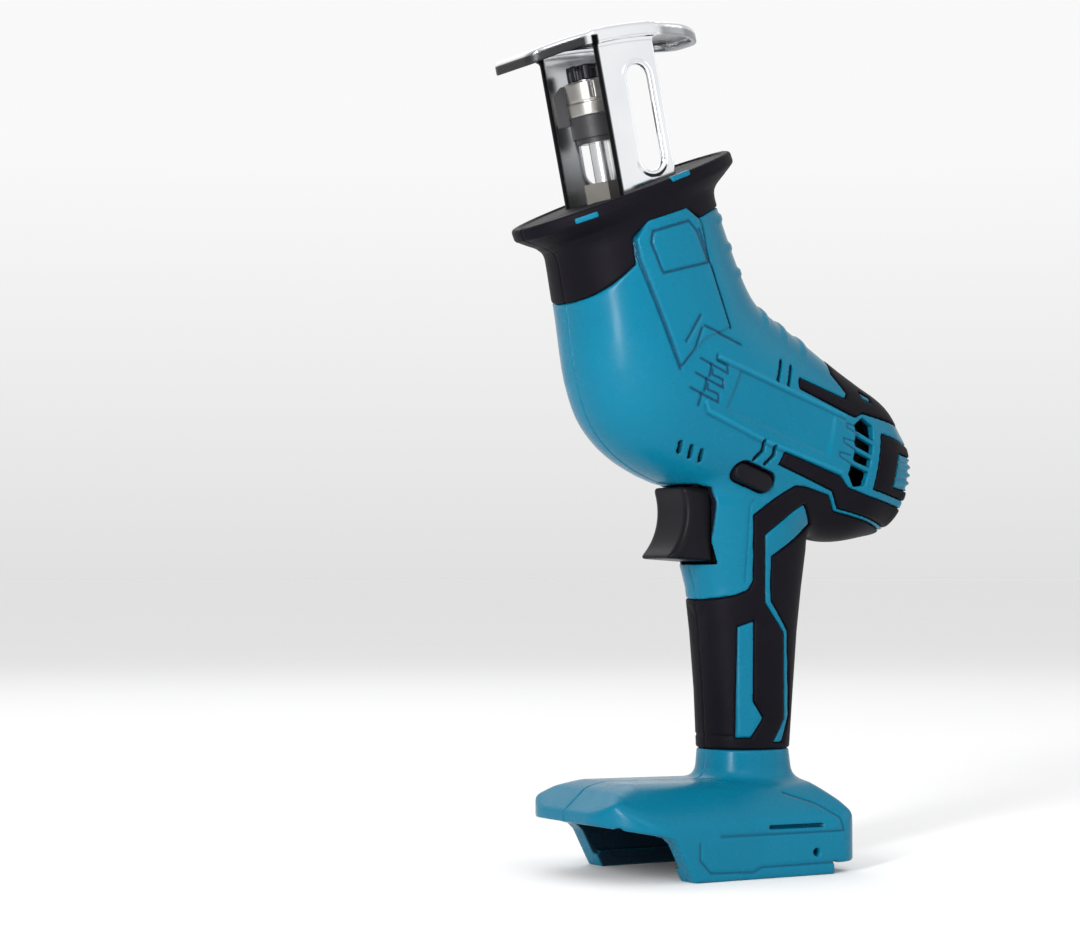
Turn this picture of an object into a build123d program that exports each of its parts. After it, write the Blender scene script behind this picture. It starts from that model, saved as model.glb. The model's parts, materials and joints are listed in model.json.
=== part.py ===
from build123d import *
import math
import os

# Reciprocating saw, cordless, shown without a blade or a battery.
# Millimetres. +Z is up, +X is towards the motor's tail, the trigger faces -X, and -Y is the saw's left side.
# The origin is under the middle of the saw, on the plane that the battery foot rests on.

os.makedirs("parts", exist_ok=True)

# ---- driving dimensions ----------------------------------------------------------------------------
CRANK = (-35.9, 191.6)          # X, Z of the crank's centre, on the plunger's axis and the motor's axis
NOSE_TILT = 12.0                # degrees that the plunger leans towards the front
MOTOR_DROP = 20.0               # degrees that the motor points below the horizontal
STROKE = 13.0
WALL = 3.6                      # housing wall with its rubber skin
SKIN = 1.8                      # rubber skin
GAP = 0.3                       # clearance between bodies that move
RUN = 0.05                      # radial running clearance of a shaft in its bore

GEAR_TEETH = 40
PINION_TEETH = 8
MODULE = 1.0
TOOTH_IN = 0.80                 # inner end of the teeth, as a share of the outer cone distance
PIN_R = 2.5                     # crank pin
PLUNGER_R = 4.0

COLLAR_R = 9.5                  # blade clamp's turning collar
COLLAR_BOTTOM = 76.6            # along the plunger's axis, from the crank's centre
BAND_TOP = 86.4
COLLAR_TOP = 99.0
CAP_TOP = 105.0

GUARD_HALF = 20.0               # shoe guard's outer half width
SHEET = 2.0                     # shoe's sheet thickness
GUARD_FRONT = -7.2
GUARD_REAR = 17.4
SHOE_MID = 7.2                  # middle of the shoe plate, across the plunger's axis
SHOE_HALF = 38.2
SHOE_SAG = 4.6
SHOE_TOP = 115.6

FOOT_HALF = 37.0                # half width of the battery foot
RAIL_IN = 29.0                  # half width between the battery rails' walls
RAIL_LIP = 26.5

CAN_R = 17.8                    # motor can
CAN_FRONT = 34.0
CAN_REAR = 92.0
SHAFT_R = 1.6

# Chords of the housing from the front or lower edge to the back or upper edge, with the half width:
# X and Z of one end, X and Z of the other, half width.
BODY = [
    (-70.3, 226.5, -9.5, 251.6, 28.0),
    (-66.0, 205.0, 1.5, 224.5, 29.5),
    (-61.0, 176.0, 9.5, 211.5, 30.0),
    (-52.0, 158.0, 19.0, 205.0, 30.0),
    (-33.0, 145.0, 31.5, 197.5, 30.0),
    (3.0, 134.0, 45.0, 188.5, 30.0),
    (29.0, 127.0, 55.0, 182.5, 29.5),
    (48.0, 121.5, 67.0, 175.5, 28.0),
    (69.0, 124.0, 77.0, 164.0, 22.0),
]
# Handle sections: height, middle X, half length, half width.
HANDLE = [
    (30.0, 11.0, 18.0, 16.0),
    (44.0, 10.6, 16.6, 15.5),
    (66.0, 11.0, 18.0, 16.0),
    (88.0, 11.0, 20.0, 16.5),
    (104.0, 11.0, 22.0, 17.2),
    (118.0, 10.0, 25.0, 18.5),
    (134.0, 8.0, 28.0, 20.0),
]


# ---- axes ------------------------------------------------------------------------------------------
TILT = math.radians(NOSE_TILT)
DROP = math.radians(MOTOR_DROP)
NOSE_DIR = (-math.sin(TILT), 0, math.cos(TILT))
MOTOR_DIR = (math.cos(DROP), 0, -math.sin(DROP))
CENTRE = (CRANK[0], 0, CRANK[1])
NOSE = Plane(origin=CENTRE, x_dir=(math.cos(TILT), 0, math.sin(TILT)), z_dir=NOSE_DIR)
MOTOR = Plane(origin=CENTRE, x_dir=(-math.sin(DROP), 0, -math.cos(DROP)), z_dir=MOTOR_DIR)
CROSS = Plane(origin=CENTRE, x_dir=(math.cos(TILT), 0, math.sin(TILT)), z_dir=(0, 1, 0))
LOW = (Align.CENTER, Align.CENTER, Align.MIN)


def rod(axis, start, end, radius):
    """A cylinder along an axis between two distances."""
    return axis * (Pos(0, 0, start) * Cylinder(radius, end - start, align=LOW))


def tube(axis, start, end, outer, inner):
    return rod(axis, start, end, outer) - rod(axis, start - 1, end + 1, inner)


def block(axis, x_range, y_range, z_range):
    """A box given by its ranges in an axis's own directions."""
    size = [r[1] - r[0] for r in (x_range, y_range, z_range)]
    low = (Align.MIN, Align.MIN, Align.MIN)
    corner = Pos(x_range[0], y_range[0], z_range[0])
    return axis * (corner * Box(*size, align=low))


def prism(points, y_low, y_high):
    """An XZ outline carried from one Y to another."""
    face = make_face(Polyline([(x, 0, z) for x, z in points], close=True))
    return Pos(0, y_low, 0) * extrude(face, amount=y_high - y_low, dir=(0, 1, 0))


def side(shape, sign):
    """The part of a shape on one side of the middle plane."""
    half = Box(400, 200, 700, align=(Align.CENTER, Align.MIN if sign > 0 else Align.MAX, Align.CENTER))
    return shape & half


# ---- housing ---------------------------------------------------------------------------------------
def oval(x_half, y_half):
    """An ellipse in two arcs that meet on its Y ends, clear of the plane that the halves part on."""
    arcs = [Edge.make_ellipse(x_half, y_half, start_angle=a, end_angle=a + 180) for a in (90, 270)]
    return make_face(Wire(arcs))


def chord_section(row, inset):
    x0, z0, x1, z1, half = row
    length = math.hypot(x1 - x0, z1 - z0)
    along = ((x1 - x0) / length, 0, (z1 - z0) / length)
    plane = Plane(origin=((x0 + x1) / 2, 0, (z0 + z1) / 2), x_dir=along, z_dir=(along[2], 0, -along[0]))
    return plane * oval(length / 2 - inset, half - inset)


def body_form(inset):
    rows = list(BODY)
    if inset:
        first, last = rows[0], rows[-1]
        rows[0] = tuple(first[i] + (rows[1][i] - first[i]) * inset / 30 for i in range(5))
        rows[-1] = tuple(last[i] + (rows[-2][i] - last[i]) * inset / 22 for i in range(5))
    return loft([chord_section(row, inset) for row in rows])


def handle_form(inset):
    return loft([Pos(x, 0, z) * oval(a - inset, b - inset) for z, x, a, b in HANDLE])


def foot_form():
    """Foot's outer shape: a rounded hood over the battery, with two rail walls under it."""
    outline = [(-67.5, 24.5), (-66.0, 16.5), (-40.8, 14.0), (-34.5, 0.0), (26.0, 0.0),
               (28.0, 4.0), (38.7, 4.0), (38.7, 25.0), (34.0, 31.0), (-50.0, 34.0), (-58.0, 32.0)]
    shape = prism(outline, -FOOT_HALF, FOOT_HALF)
    plan = Rectangle(106.2, 2 * FOOT_HALF)
    plan = fillet(plan.vertices().sort_by(Axis.X)[:2], 24)
    plan = fillet(plan.vertices().group_by(Axis.X)[-1], 10)
    return shape & (Pos(-14.4, 0, -2) * extrude(plan, amount=60))


def foot_bay():
    """The space that the battery's rails slide into, open below and to the front."""
    deep = block(Plane.XY, (-80, 20), (-RAIL_IN, RAIL_IN), (6.0, 16.0))
    mouth = block(Plane.XY, (-80, 20), (-RAIL_LIP, RAIL_LIP), (-1.0, 7.0))
    roof = block(Plane.XY, (-62, -36), (-RAIL_IN, RAIL_IN), (5.0, 20.0))
    return deep + mouth + roof


def foot_hollow():
    """The space over the battery bay, which holds the terminal block."""
    return block(Plane.XY, (-52, 28), (-32, 32), (20.0, 28.0))


HOOK_HOLE = (17.9, 8.3)         # X, Z of the belt-hook screw hole in each rail wall
HOOK_R = 1.5
HOOK_DEEP = 6.0


def block_seat():
    """Opening in the bay's roof that the terminal block sits in."""
    return block(Plane.XY, (2.0, 19.9), (-19.0, 19.0), (14.0, 21.0))


def trigger_room():
    return block(Plane.XY, (-50, -1.0), (-11.8, 11.8), (112.4, 142.2))


BOOT_REGION = [(-90, 205), (-72.3, 205.7), (-60, 208), (-48.3, 219.7), (5, 243.4), (20, 262), (-100, 262)]
TAIL_REGION = [(56.0, 160.5), (51.5, 141.0), (63.0, 125.0), (66, 100), (110, 100), (110, 190), (72, 190),
               (60.0, 168.5)]
GRIP_REGION = [(-15, 44.0), (-15, 97.0), (7.0, 104.0), (8.5, 126.0), (24.0, 138.5), (36.0, 134.0),
               (63.0, 125.0), (66, 100), (40, 100), (40, 44.0)]
STRIP_REGION = [(18.0, 186.0), (18.9, 179.0), (42.6, 168.6), (60.0, 168.5), (72, 190), (40, 205)]


def regions():
    return {
        "boot": prism(BOOT_REGION, -40, 40),
        "tail": prism(TAIL_REGION, -40, 40),
        "grip": prism(GRIP_REGION, -40, 40),
        "strip": prism(STRIP_REGION, -40, 40),
    }


def vent_slots(sign):
    """Four slanted slots through the side wall beside the motor's end."""
    slots = []
    for k in range(4):
        at = Plane(origin=(46.5 - 1.7 * k, sign * 30, 160.0 - 5.0 * k), x_dir=MOTOR_DIR, z_dir=(0, 1, 0))
        slots.append(at * Box(7.0, 2.8, 24.0))
    return slots


def build_housing():
    form = body_form(0) + handle_form(0) + foot_form()
    skin_form = body_form(SKIN) + handle_form(SKIN)
    cavity = body_form(WALL) + handle_form(WALL)
    cavity -= block(Plane.XY, (-100, 100), (-60, 60), (0, 33.5))
    outer_skin = body_form(0) + handle_form(0) - skin_form
    area = regions()
    screws, bosses, wells = build_housing_screws(body_form(0) + handle_form(0))
    shell = form - cavity
    for boss in bosses:
        shell += boss & skin_form
    shell -= foot_bay() + foot_hollow()
    for name in area:
        shell -= outer_skin & area[name]
    shell -= trigger_room() + block_seat()
    for sign in (-1, 1):
        shell -= Pos(HOOK_HOLE[0], sign * FOOT_HALF, HOOK_HOLE[1]) * Rot(90, 0, 0) * Cylinder(HOOK_R, 2 * HOOK_DEEP)
        shell -= block(Plane.XY, (-2.4, 22.0), sorted((sign * 36.0, sign * 40.0)), (17.7, 19.5))
        shell -= vent_slots(sign)
    for piece in screws + wells + build_shoe_screws():
        shell -= piece
    shell -= rod(NOSE, 36, 90, 13.0)
    shell -= button_hole()
    for piece in screws + wells:
        outer_skin -= piece
    return shell, outer_skin, area, screws


# ---- controls --------------------------------------------------------------------------------------
BUTTON_MID = (0.0, 144.2)
BUTTON_LEN = 16.0
BUTTON_H = 7.0
BUTTON_LEFT = 24.0
BUTTON_RIGHT = 19.4


def button_profile(grow):
    plane = Plane(origin=(BUTTON_MID[0], 0, BUTTON_MID[1]), x_dir=MOTOR_DIR, z_dir=(0, 1, 0))
    return plane * SlotOverall(BUTTON_LEN + 2 * grow, BUTTON_H + 2 * grow)


def button_hole():
    return Pos(0, -40, 0) * extrude(button_profile(GAP), amount=80, dir=(0, 1, 0))


def build_button():
    length = BUTTON_LEFT + BUTTON_RIGHT
    return Pos(0, -BUTTON_LEFT, 0) * extrude(button_profile(0), amount=length, dir=(0, 1, 0))


def build_trigger():
    """A hollow-backed trigger with a concave front, sliding straight back into the housing."""
    front = [(-27.5, 141.0), (-9.0, 141.0), (-9.0, 113.4), (-30.6, 115.5)]
    shape = prism(front, -11.2, 11.2)
    shape -= Pos(-45.5, 0, 127) * Rot(90, 0, 0) * Cylinder(19.5, 60)
    return shape


def build_switch():
    """Switch module behind the trigger, with the stem on the trigger's back and its return spring."""
    body = block(Plane.XY, (1.0, 19.0), (-8.5, 8.5), (112.0, 134.0))
    at = Plane(origin=(-9.0, 0, 124), z_dir=(1, 0, 0))
    stem = rod(at, 0, 2.4, 2.0)
    path = at * Pos(0, 0, 0.6) * Helix(pitch=1.9, height=8.6, radius=3.4)
    wire = Plane(origin=path @ 0, z_dir=path % 0) * Circle(0.35)
    spring = sweep(wire, path=path)
    return body, stem, spring


# ---- nose boot -------------------------------------------------------------------------------------
FLANGE_TILT = 22.4              # degrees from the horizontal
FLANGE_RISE = 7.7               # from the housing's nose end to the flange's underside
FLANGE_A = 46.0
FLANGE_B = 33.0
FLANGE_SHIFT = 1.6              # the rim reaches further back than forward
RIM = 3.2
LEAN = math.radians(FLANGE_TILT)
FLANGE = Plane(origin=(-39.9, 0, 239.05), x_dir=(math.cos(LEAN), 0, math.sin(LEAN)),
               z_dir=(-math.sin(LEAN), 0, math.cos(LEAN)))
CLIP_ANGLES = (-133.0, -78.0, 78.0, 133.0, 0.0)


def build_boot(outer_skin, region):
    sweep = [(-0.6, 32.3, 27.4), (3.0, 34.0, 28.6), (6.0, 39.0, 30.6), (FLANGE_RISE, FLANGE_A, FLANGE_B)]
    flare = loft([FLANGE * Pos(FLANGE_SHIFT * z / FLANGE_RISE, 0, z) * Ellipse(a, b) for z, a, b in sweep])
    rim = Pos(FLANGE_SHIFT, 0, FLANGE_RISE) * extrude(Ellipse(FLANGE_A, FLANGE_B), amount=RIM)
    rim = FLANGE * chamfer(rim.edges().group_by(Axis.Z)[-1], 0.8)
    boot = flare + rim + (outer_skin & region)
    boot -= block(NOSE, (GUARD_FRONT, GUARD_REAR), (-GUARD_HALF, GUARD_HALF), (49.5, 90))
    boot -= rod(NOSE, 30, 90, 13.0)
    for piece in build_shoe_screws():
        boot -= piece
    clips = []
    for angle in CLIP_ANGLES:
        a = math.radians(angle)
        x, y = (FLANGE_A - 1.0) * math.cos(a), (FLANGE_B - 1.0) * math.sin(a)
        turn = math.degrees(math.atan2(FLANGE_B * math.cos(a), -FLANGE_A * math.sin(a)))
        clip = FLANGE * Pos(x + FLANGE_SHIFT, y, FLANGE_RISE + RIM / 2) * Rot(0, 0, turn) * Box(9.0, 2.6, 1.6)
        boot -= clip
        clips.append(clip)
    return boot, clips


# ---- shoe ------------------------------------------------------------------------------------------
SLOT_MID = 8.2                  # window in each side of the guard, across the plunger's axis
SLOT_W = 9.4
SLOT_S = (62.5, 101.0)
SHOE_PLAN = [(-38.2, 13.5), (-30, 18.5), (-16, 21.5), (18, 21.5), (30, 17.0), (38.2, 8.0)]
LIP = 4.6


def shoe_plan(inset):
    upper = [(x * (SHOE_HALF - inset) / SHOE_HALF, y - inset) for x, y in SHOE_PLAN]
    lower = [(x, -y) for x, y in reversed(upper)]
    face = make_face(Polyline(upper + lower, close=True))
    return fillet(face.vertices(), 5.0)


def shoe_arch(depth):
    """The arched slab under the shoe's top, as deep as asked, wider than the plan."""
    radius = (SHOE_HALF ** 2 + SHOE_SAG ** 2) / (2 * SHOE_SAG)
    mid = NOSE * Pos(SHOE_MID, 0, SHOE_TOP - radius) * Rot(90, 0, 0)
    outer = mid * Cylinder(radius, 60)
    return outer - mid * Cylinder(radius - depth, 60)


def build_shoe():
    solid = extrude(shoe_plan(0), amount=40)
    pocket = extrude(shoe_plan(SHEET), amount=40)
    lift = NOSE * Pos(SHOE_MID, 0, SHOE_TOP - 30)
    plate = (lift * solid) & shoe_arch(LIP)
    plate -= (lift * pocket) & (shoe_arch(LIP + 4) - shoe_arch(SHEET))
    plate -= block(NOSE, (GUARD_FRONT + 3, 30), (-7.0, 7.0), (100, 125))
    top = SHOE_TOP - 1.2
    sides = block(NOSE, (GUARD_FRONT, GUARD_REAR), (-GUARD_HALF, GUARD_HALF), (50.0, top))
    sides -= block(NOSE, (GUARD_FRONT - 5, GUARD_REAR + 5), (-GUARD_HALF + SHEET, GUARD_HALF - SHEET),
                   (50.0 + SHEET, top + 5))
    sides = sides & shoe_core()
    middle, long = (SLOT_S[0] + SLOT_S[1]) / 2, SLOT_S[1] - SLOT_S[0]
    window = NOSE * Pos(SLOT_MID, -40, middle) * Rot(-90, 0, 0) * Rot(0, 0, 90) * \
        extrude(SlotOverall(long, SLOT_W), amount=80)
    shoe = plate + sides - window
    shoe -= rod(NOSE, 40, 60, 11.7)
    for y in SHOE_SCREW_Y:
        shoe -= screw_axis(y) * Cylinder(1.6, 20)
    return shoe


def shoe_core():
    """Everything under the shoe's top face."""
    radius = (SHOE_HALF ** 2 + SHOE_SAG ** 2) / (2 * SHOE_SAG)
    return NOSE * Pos(SHOE_MID, 0, SHOE_TOP - radius) * Rot(90, 0, 0) * Cylinder(radius - 0.5, 60)


SHOE_SCREW_Y = (-14.6, 14.6)


def screw_axis(y):
    return NOSE * Pos(5.0, y, 50.0)


def build_shoe_screws():
    heads = []
    for y in SHOE_SCREW_Y:
        place = screw_axis(y)
        head = place * Pos(0, 0, SHEET) * Cylinder(2.8, 1.8, align=LOW)
        shank = place * Pos(0, 0, -6) * Cylinder(1.5, 6 + SHEET, align=LOW)
        heads.append(head + shank)
    return heads


# ---- blade clamp and plunger -----------------------------------------------------------------------
BLADE_T = 1.5
BLADE_W = 11.0
BLADE_DEEP = 18.0
CLAMP_R = 6.6


def build_clamp():
    base = rod(NOSE, COLLAR_BOTTOM, CAP_TOP - 2.5, CLAMP_R)
    base -= rod(NOSE, COLLAR_BOTTOM - 1, COLLAR_BOTTOM + 6, PLUNGER_R)
    blade = block(NOSE, (-BLADE_W / 2, BLADE_W / 2), (-BLADE_T / 2, BLADE_T / 2),
                  (CAP_TOP - BLADE_DEEP, CAP_TOP + 5))
    base -= blade
    pin_hole = NOSE * Pos(0, 0, 92) * Rot(90, 0, 0) * Cylinder(1.5, 30)
    base -= pin_hole & block(NOSE, (-9, 9), (0.75, 9), (80, 100))
    pin = NOSE * Pos(0, 1.2, 92) * Rot(-90, 0, 0) * Cylinder(1.45, 5.0, align=LOW)
    cap = rod(NOSE, COLLAR_TOP + GAP, CAP_TOP, 8.6) - rod(NOSE, COLLAR_TOP, CAP_TOP - 2.5, CLAMP_R)
    cap -= blade
    for k in range(9):
        notch = NOSE * Rot(0, 0, 40 * k) * Pos(8.6, 0, CAP_TOP) * Rot(0, 45, 0) * Box(2.6, 1.8, 2.6)
        cap -= notch
    return base, pin, cap


def build_collar():
    bore = CLAMP_R + RUN
    steel = tube(NOSE, BAND_TOP, COLLAR_TOP, COLLAR_R, bore)
    steel -= block(NOSE, (-COLLAR_R - 1, -CLAMP_R), (-0.5, 0.5), (BAND_TOP + 5.5, COLLAR_TOP + 1))
    band = tube(NOSE, COLLAR_BOTTOM + 2, BAND_TOP, COLLAR_R - 0.1, bore)
    band += tube(NOSE, COLLAR_BOTTOM, COLLAR_BOTTOM + 2, COLLAR_R - 1.3, bore)
    fin = NOSE * Rot(0, 0, LEVER_ANGLE) * Pos(COLLAR_R - 0.4, 0, 84.0)
    outline = [(0, 0), (4.6, 0), (4.6, 11.5), (1.5, 14.5), (0, 14.5)]
    face = make_face(Polyline([(x, 0, z) for x, z in outline], close=True))
    lever = fin * Pos(0, -1.4, 0) * extrude(face, amount=2.8, dir=(0, 1, 0))
    lever -= rod(NOSE, 70, 110, COLLAR_R)
    return steel, band, lever


LEVER_ANGLE = 150.0


ROD_START = 10.8                # the rod's lower end, clear of the crank pin's path in the yoke
PLUNGER_FLAT = (2.2, 35.0)      # the flat that clears the gear's teeth: its height and where it ends


def build_plunger():
    round_rod = rod(NOSE, ROD_START, COLLAR_BOTTOM + 6, PLUNGER_R)
    return round_rod - block(NOSE, (-5, 5), (PLUNGER_FLAT[0], 5), (9, PLUNGER_FLAT[1]))


YOKE_R = 11.0
YOKE_TOP = 5.6
YOKE_Y = (-5.0, 2.2)
PIN_ROOM = 1.45                 # clearance over the crank pin along the stroke


def build_yoke():
    """Slotted yoke on the plunger's end; the crank pin runs across in its slot."""
    rest = STROKE / 2
    yoke = block(NOSE, (-YOKE_R, YOKE_R), YOKE_Y, (rest - YOKE_TOP, rest + YOKE_TOP))
    yoke = fillet(yoke.edges().filter_by(Axis.Y), 3.0)
    hub = rod(NOSE, rest + 2, 18.0, 6.2)
    hub &= block(NOSE, (-20, 20), (-6.2, 2.2), (rest, 30))
    high = PIN_R + PIN_ROOM
    slot = block(NOSE, (-YOKE_R + 1.6, YOKE_R - 1.6), (-10, 10), (rest - high, rest + high))
    return yoke + hub - slot - rod(NOSE, 10.0, 30, PLUNGER_R)


def build_guides():
    bush = tube(NOSE, 24.0, 34.0, 8.0, PLUNGER_R + RUN)
    seal = tube(NOSE, 40.0, 43.8, 8.0, PLUNGER_R + RUN)
    gland = rod(NOSE, 44.0, 52.0, 8.0) + NOSE * Pos(0, 0, 52) * extrude(RegularPolygon(9.6, 6), amount=9.9)
    gland -= rod(NOSE, 40, 70, PLUNGER_R + RUN)
    return bush, seal, gland


# ---- bevel drive -----------------------------------------------------------------------------------
GEAR_R = GEAR_TEETH * MODULE / 2
PINION_R = PINION_TEETH * MODULE / 2
CONE = math.hypot(GEAR_R, PINION_R)
PINION_CONE = math.atan2(PINION_R, GEAR_R)
ADDENDUM = 0.60 * MODULE
DEDENDUM = 0.95 * MODULE
PRESSURE = math.tan(math.radians(20))
BACKLASH = 0.80                 # tooth thickness as a share of half the pitch
GEAR_WEB = (4.6, 8.4)


def bevel_tooth(cone_angle, azimuth):
    """One straight bevel tooth whose apex is the crank's centre, about +Z."""
    radial = Vector(math.cos(azimuth), math.sin(azimuth), 0)
    across = Vector(-math.sin(azimuth), math.cos(azimuth), 0)
    axis = Vector(0, 0, 1)
    ridge = axis * math.cos(cone_angle) + radial * math.sin(cone_angle)
    height = radial * math.cos(cone_angle) - axis * math.sin(cone_angle)
    half = BACKLASH * math.pi * MODULE / 4
    shape = [(-half - DEDENDUM * PRESSURE, -DEDENDUM * 1.25), (half + DEDENDUM * PRESSURE, -DEDENDUM * 1.25),
             (half, 0), (half - ADDENDUM * PRESSURE, ADDENDUM), (-half + ADDENDUM * PRESSURE, ADDENDUM),
             (-half, 0)]
    ends = []
    for share in (TOOTH_IN, 1.0):
        points = [(ridge * CONE + across * w + height * h) * share for w, h in shape]
        ends.append(make_face(Polyline(points, close=True)))
    return loft(ends, ruled=True)


def cone_blank(cone_angle, depth_low, depth_high, bore):
    """The frustum between the teeth's root cone and the hub."""
    root = cone_angle - math.atan2(DEDENDUM, CONE)
    low, high = CONE * TOOTH_IN, CONE
    points = [(bore, low * math.cos(root)), (low * math.sin(root), low * math.cos(root)),
              (high * math.sin(root), high * math.cos(root)), (high * math.sin(root), depth_high),
              (bore, depth_high)]
    if depth_low is not None:
        points[0] = (bore, depth_low)
        points.insert(1, (low * math.sin(root) - 0.6, depth_low))
    face = make_face(Polyline([(x, 0, z) for x, z in points], close=True))
    return revolve(face, Axis.Z)


def build_crank():
    angle = math.pi / 2 - PINION_CONE
    blank = cone_blank(angle, GEAR_WEB[0], GEAR_WEB[1], AXLE_R)
    step = 2 * math.pi / GEAR_TEETH
    phase = math.radians(-NOSE_TILT - MOTOR_DROP) + step / 2
    # The gear's frame has +Z along +Y and +X across the nose; the motor lies below that +X.
    teeth = [bevel_tooth(angle, -phase + k * step) for k in range(GEAR_TEETH)]
    gear = CROSS * (blank + teeth)
    axle = rod(CROSS, GEAR_WEB[0], 18.4, AXLE_R)
    pin_at = CROSS * Pos(0, PIN_SIDE * STROKE / 2, 0)
    pin = pin_at * Pos(0, 0, YOKE_Y[0]) * Cylinder(PIN_R, GEAR_WEB[1] - YOKE_Y[0], align=LOW)
    gear -= pin
    return gear, axle, pin


AXLE_R = 3.2
PIN_SIDE = -1                   # the nose points along -Y in the crank's own frame


def build_pinion():
    angle = PINION_CONE
    blank = cone_blank(angle, None, CONE + 1.2, SHAFT_R)
    step = 2 * math.pi / PINION_TEETH
    teeth = [bevel_tooth(angle, math.pi / 2 + k * step) for k in range(PINION_TEETH)]
    return MOTOR * (blank + teeth)


def bearing(axis, start, end, outer, inner):
    """Two races with a shielded ring between them, as one piece."""
    ring = tube(axis, start, end, outer, inner)
    middle = (outer + inner) / 2
    groove = tube(axis, end - 0.4, end + 1, middle + 0.7, middle - 0.7)
    return ring - groove


# ---- gear case -------------------------------------------------------------------------------------
CASE_R = 22.6
CASE_IN = 20.9
CASE_Y = (-8.0, 10.6)


def build_gear_case():
    case = (rod(CROSS, CASE_Y[0], CASE_Y[1], CASE_R) & body_form(WALL + GAP)) + rod(CROSS, 8.0, 19.2, 9.6)
    case += rod(NOSE, 14, 52, 11.4) + rod(MOTOR, 14, CAN_FRONT - 0.2, 16.0)
    hollow = rod(CROSS, CASE_Y[0] + 1.6, 9.0, CASE_IN) + rod(CROSS, 5.0, 18.6, 7.0)
    hollow += rod(NOSE, 12, 60, 8.0) + rod(MOTOR, 10, 23.6, 13.5) + rod(MOTOR, 23, 40, 6.0)
    hollow += rod(MOTOR, 30, 40, 14.0)
    case -= hollow
    for x, y in CASE_SCREWS:
        case -= NOSE * Pos(x, 0, y) * Rot(90, 0, 0) * Cylinder(1.25, 60)
    return side(case, -1), side(case, 1)


CASE_SCREWS = [(-9.7, 47.0), (9.7, 47.0)]


def build_case_screws():
    screws = []
    for x, s in CASE_SCREWS:
        place = NOSE * Pos(x, 0, s) * Rot(90, 0, 0)
        screws.append(place * Cylinder(1.2, 9.0))
    return screws


# ---- motor -----------------------------------------------------------------------------------------
def build_motor():
    can = tube(MOTOR, CAN_FRONT, CAN_REAR, CAN_R, CAN_R - 1.2)
    can += tube(MOTOR, CAN_FRONT, CAN_FRONT + 1.2, CAN_R - 0.6, 6.0)
    magnets = []
    for sign in (-1, 1):
        ring = tube(MOTOR, 42, 78, CAN_R - 1.2, CAN_R - 4.6)
        arc = MOTOR * Pos(0, sign * 15, 60) * Box(24, 17, 60)
        magnets.append(ring & arc)
    end_cap = tube(MOTOR, CAN_REAR, CAN_REAR + 6, CAN_R - 1.4, 4.0)
    end_cap += tube(MOTOR, CAN_REAR + 6, CAN_REAR + 9, 6.0, 4.0)
    front_bearing = bearing(MOTOR, 24.0, 29.0, 6.0, SHAFT_R)
    rear_bearing = bearing(MOTOR, CAN_REAR + 2, CAN_REAR + 8, 4.0, SHAFT_R)
    brushes = []
    holders = []
    for sign in (-1, 1):
        brush = MOTOR * Pos(0, sign * (4.6 + 4.0), 86) * Box(3.0, 8.0, 4.5)
        holder = MOTOR * Pos(0, sign * 11.0, 87.2) * Box(5.4, 8.0, 9.4)
        brushes.append(brush)
        holders.append(holder - brush)
    return can, magnets, end_cap, front_bearing, rear_bearing, brushes, holders


def build_rotor():
    shaft = rod(MOTOR, CONE * TOOTH_IN * math.cos(PINION_CONE), CAN_REAR + 8.5, SHAFT_R)
    stack = tube(MOTOR, 44, 76, 12.6, SHAFT_R)
    for k in range(5):
        stack -= MOTOR * Rot(0, 0, 72 * k) * Pos(12.6, 0, 60) * Box(9.0, 1.6, 60)
    windings = tube(MOTOR, 39.5, 44, 10.5, SHAFT_R) + tube(MOTOR, 76, 80.5, 10.5, SHAFT_R)
    commutator = tube(MOTOR, 82, 90, 4.5, SHAFT_R)
    for k in range(10):
        commutator -= MOTOR * Rot(0, 0, 36 * k) * Pos(4.5, 0, 86) * Box(0.8, 0.4, 12)
    fan = tube(MOTOR, 36.2, 37.6, 12.0, SHAFT_R)
    for k in range(9):
        fan += MOTOR * Rot(0, 0, 40 * k) * Pos(9.0, 0, 38.4) * Box(5.0, 0.9, 1.8)
    return shaft, stack, windings, commutator, fan


# ---- electrics and fasteners -----------------------------------------------------------------------
def build_terminals():
    block_body = block(Plane.XY, (2.0, 24.0), (-19, 19), (8.0, 20.0)) + \
        block(Plane.XY, (10.0, 26.0), (-16, 16), (20.0, 26.0))
    block_body &= block(Plane.XY, (-50, 19.9), (-28.9, 28.9), (0, 40)) + \
        block(Plane.XY, (10, 26.0), (-28.9, 28.9), (20.0, 40))
    blades = []
    for y in (-13.0, 13.0, 4.0):
        block_body -= block(Plane.XY, (-10, 12), (y - 0.5, y + 0.5), (10.0, 15.5))
        blades.append(block(Plane.XY, (-8.0, 12.0), (y - 0.5, y + 0.5), (10.0, 15.5)))
    return block_body, blades


HOUSING_SCREWS = [(11.0, 82.0), (11.0, 50.0), (66.0, 146.0), (-44.0, 160.0), (-14.0, 226.0)]
SCREW_SINK = 3.0                # how far each head's top lies under the surface
HEAD_R = 3.0
HEAD_T = 1.8


def half_width(form, x, z):
    """How far the outer surface stands from the middle plane at a place on the side."""
    needle = Pos(x, 0, z) * Box(0.2, 200, 0.2)
    return (form & needle).bounding_box().max.Y


def build_housing_screws(form):
    """Self-tapping screws from the right-hand side, with their bosses and the wells over their heads."""
    screws, bosses, wells = [], [], []
    for x, z in HOUSING_SCREWS:
        top = half_width(form, x, z) - SCREW_SINK
        at = Plane(origin=(x, 0, z), z_dir=(0, 1, 0))
        screws.append(rod(at, -7.0, top - HEAD_T, 1.5) + rod(at, top - HEAD_T, top, HEAD_R))
        bosses.append(rod(at, -40.0, 40.0, 4.2))
        wells.append(rod(at, top, 40.0, HEAD_R + 0.4))
    return screws, bosses, wells


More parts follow.
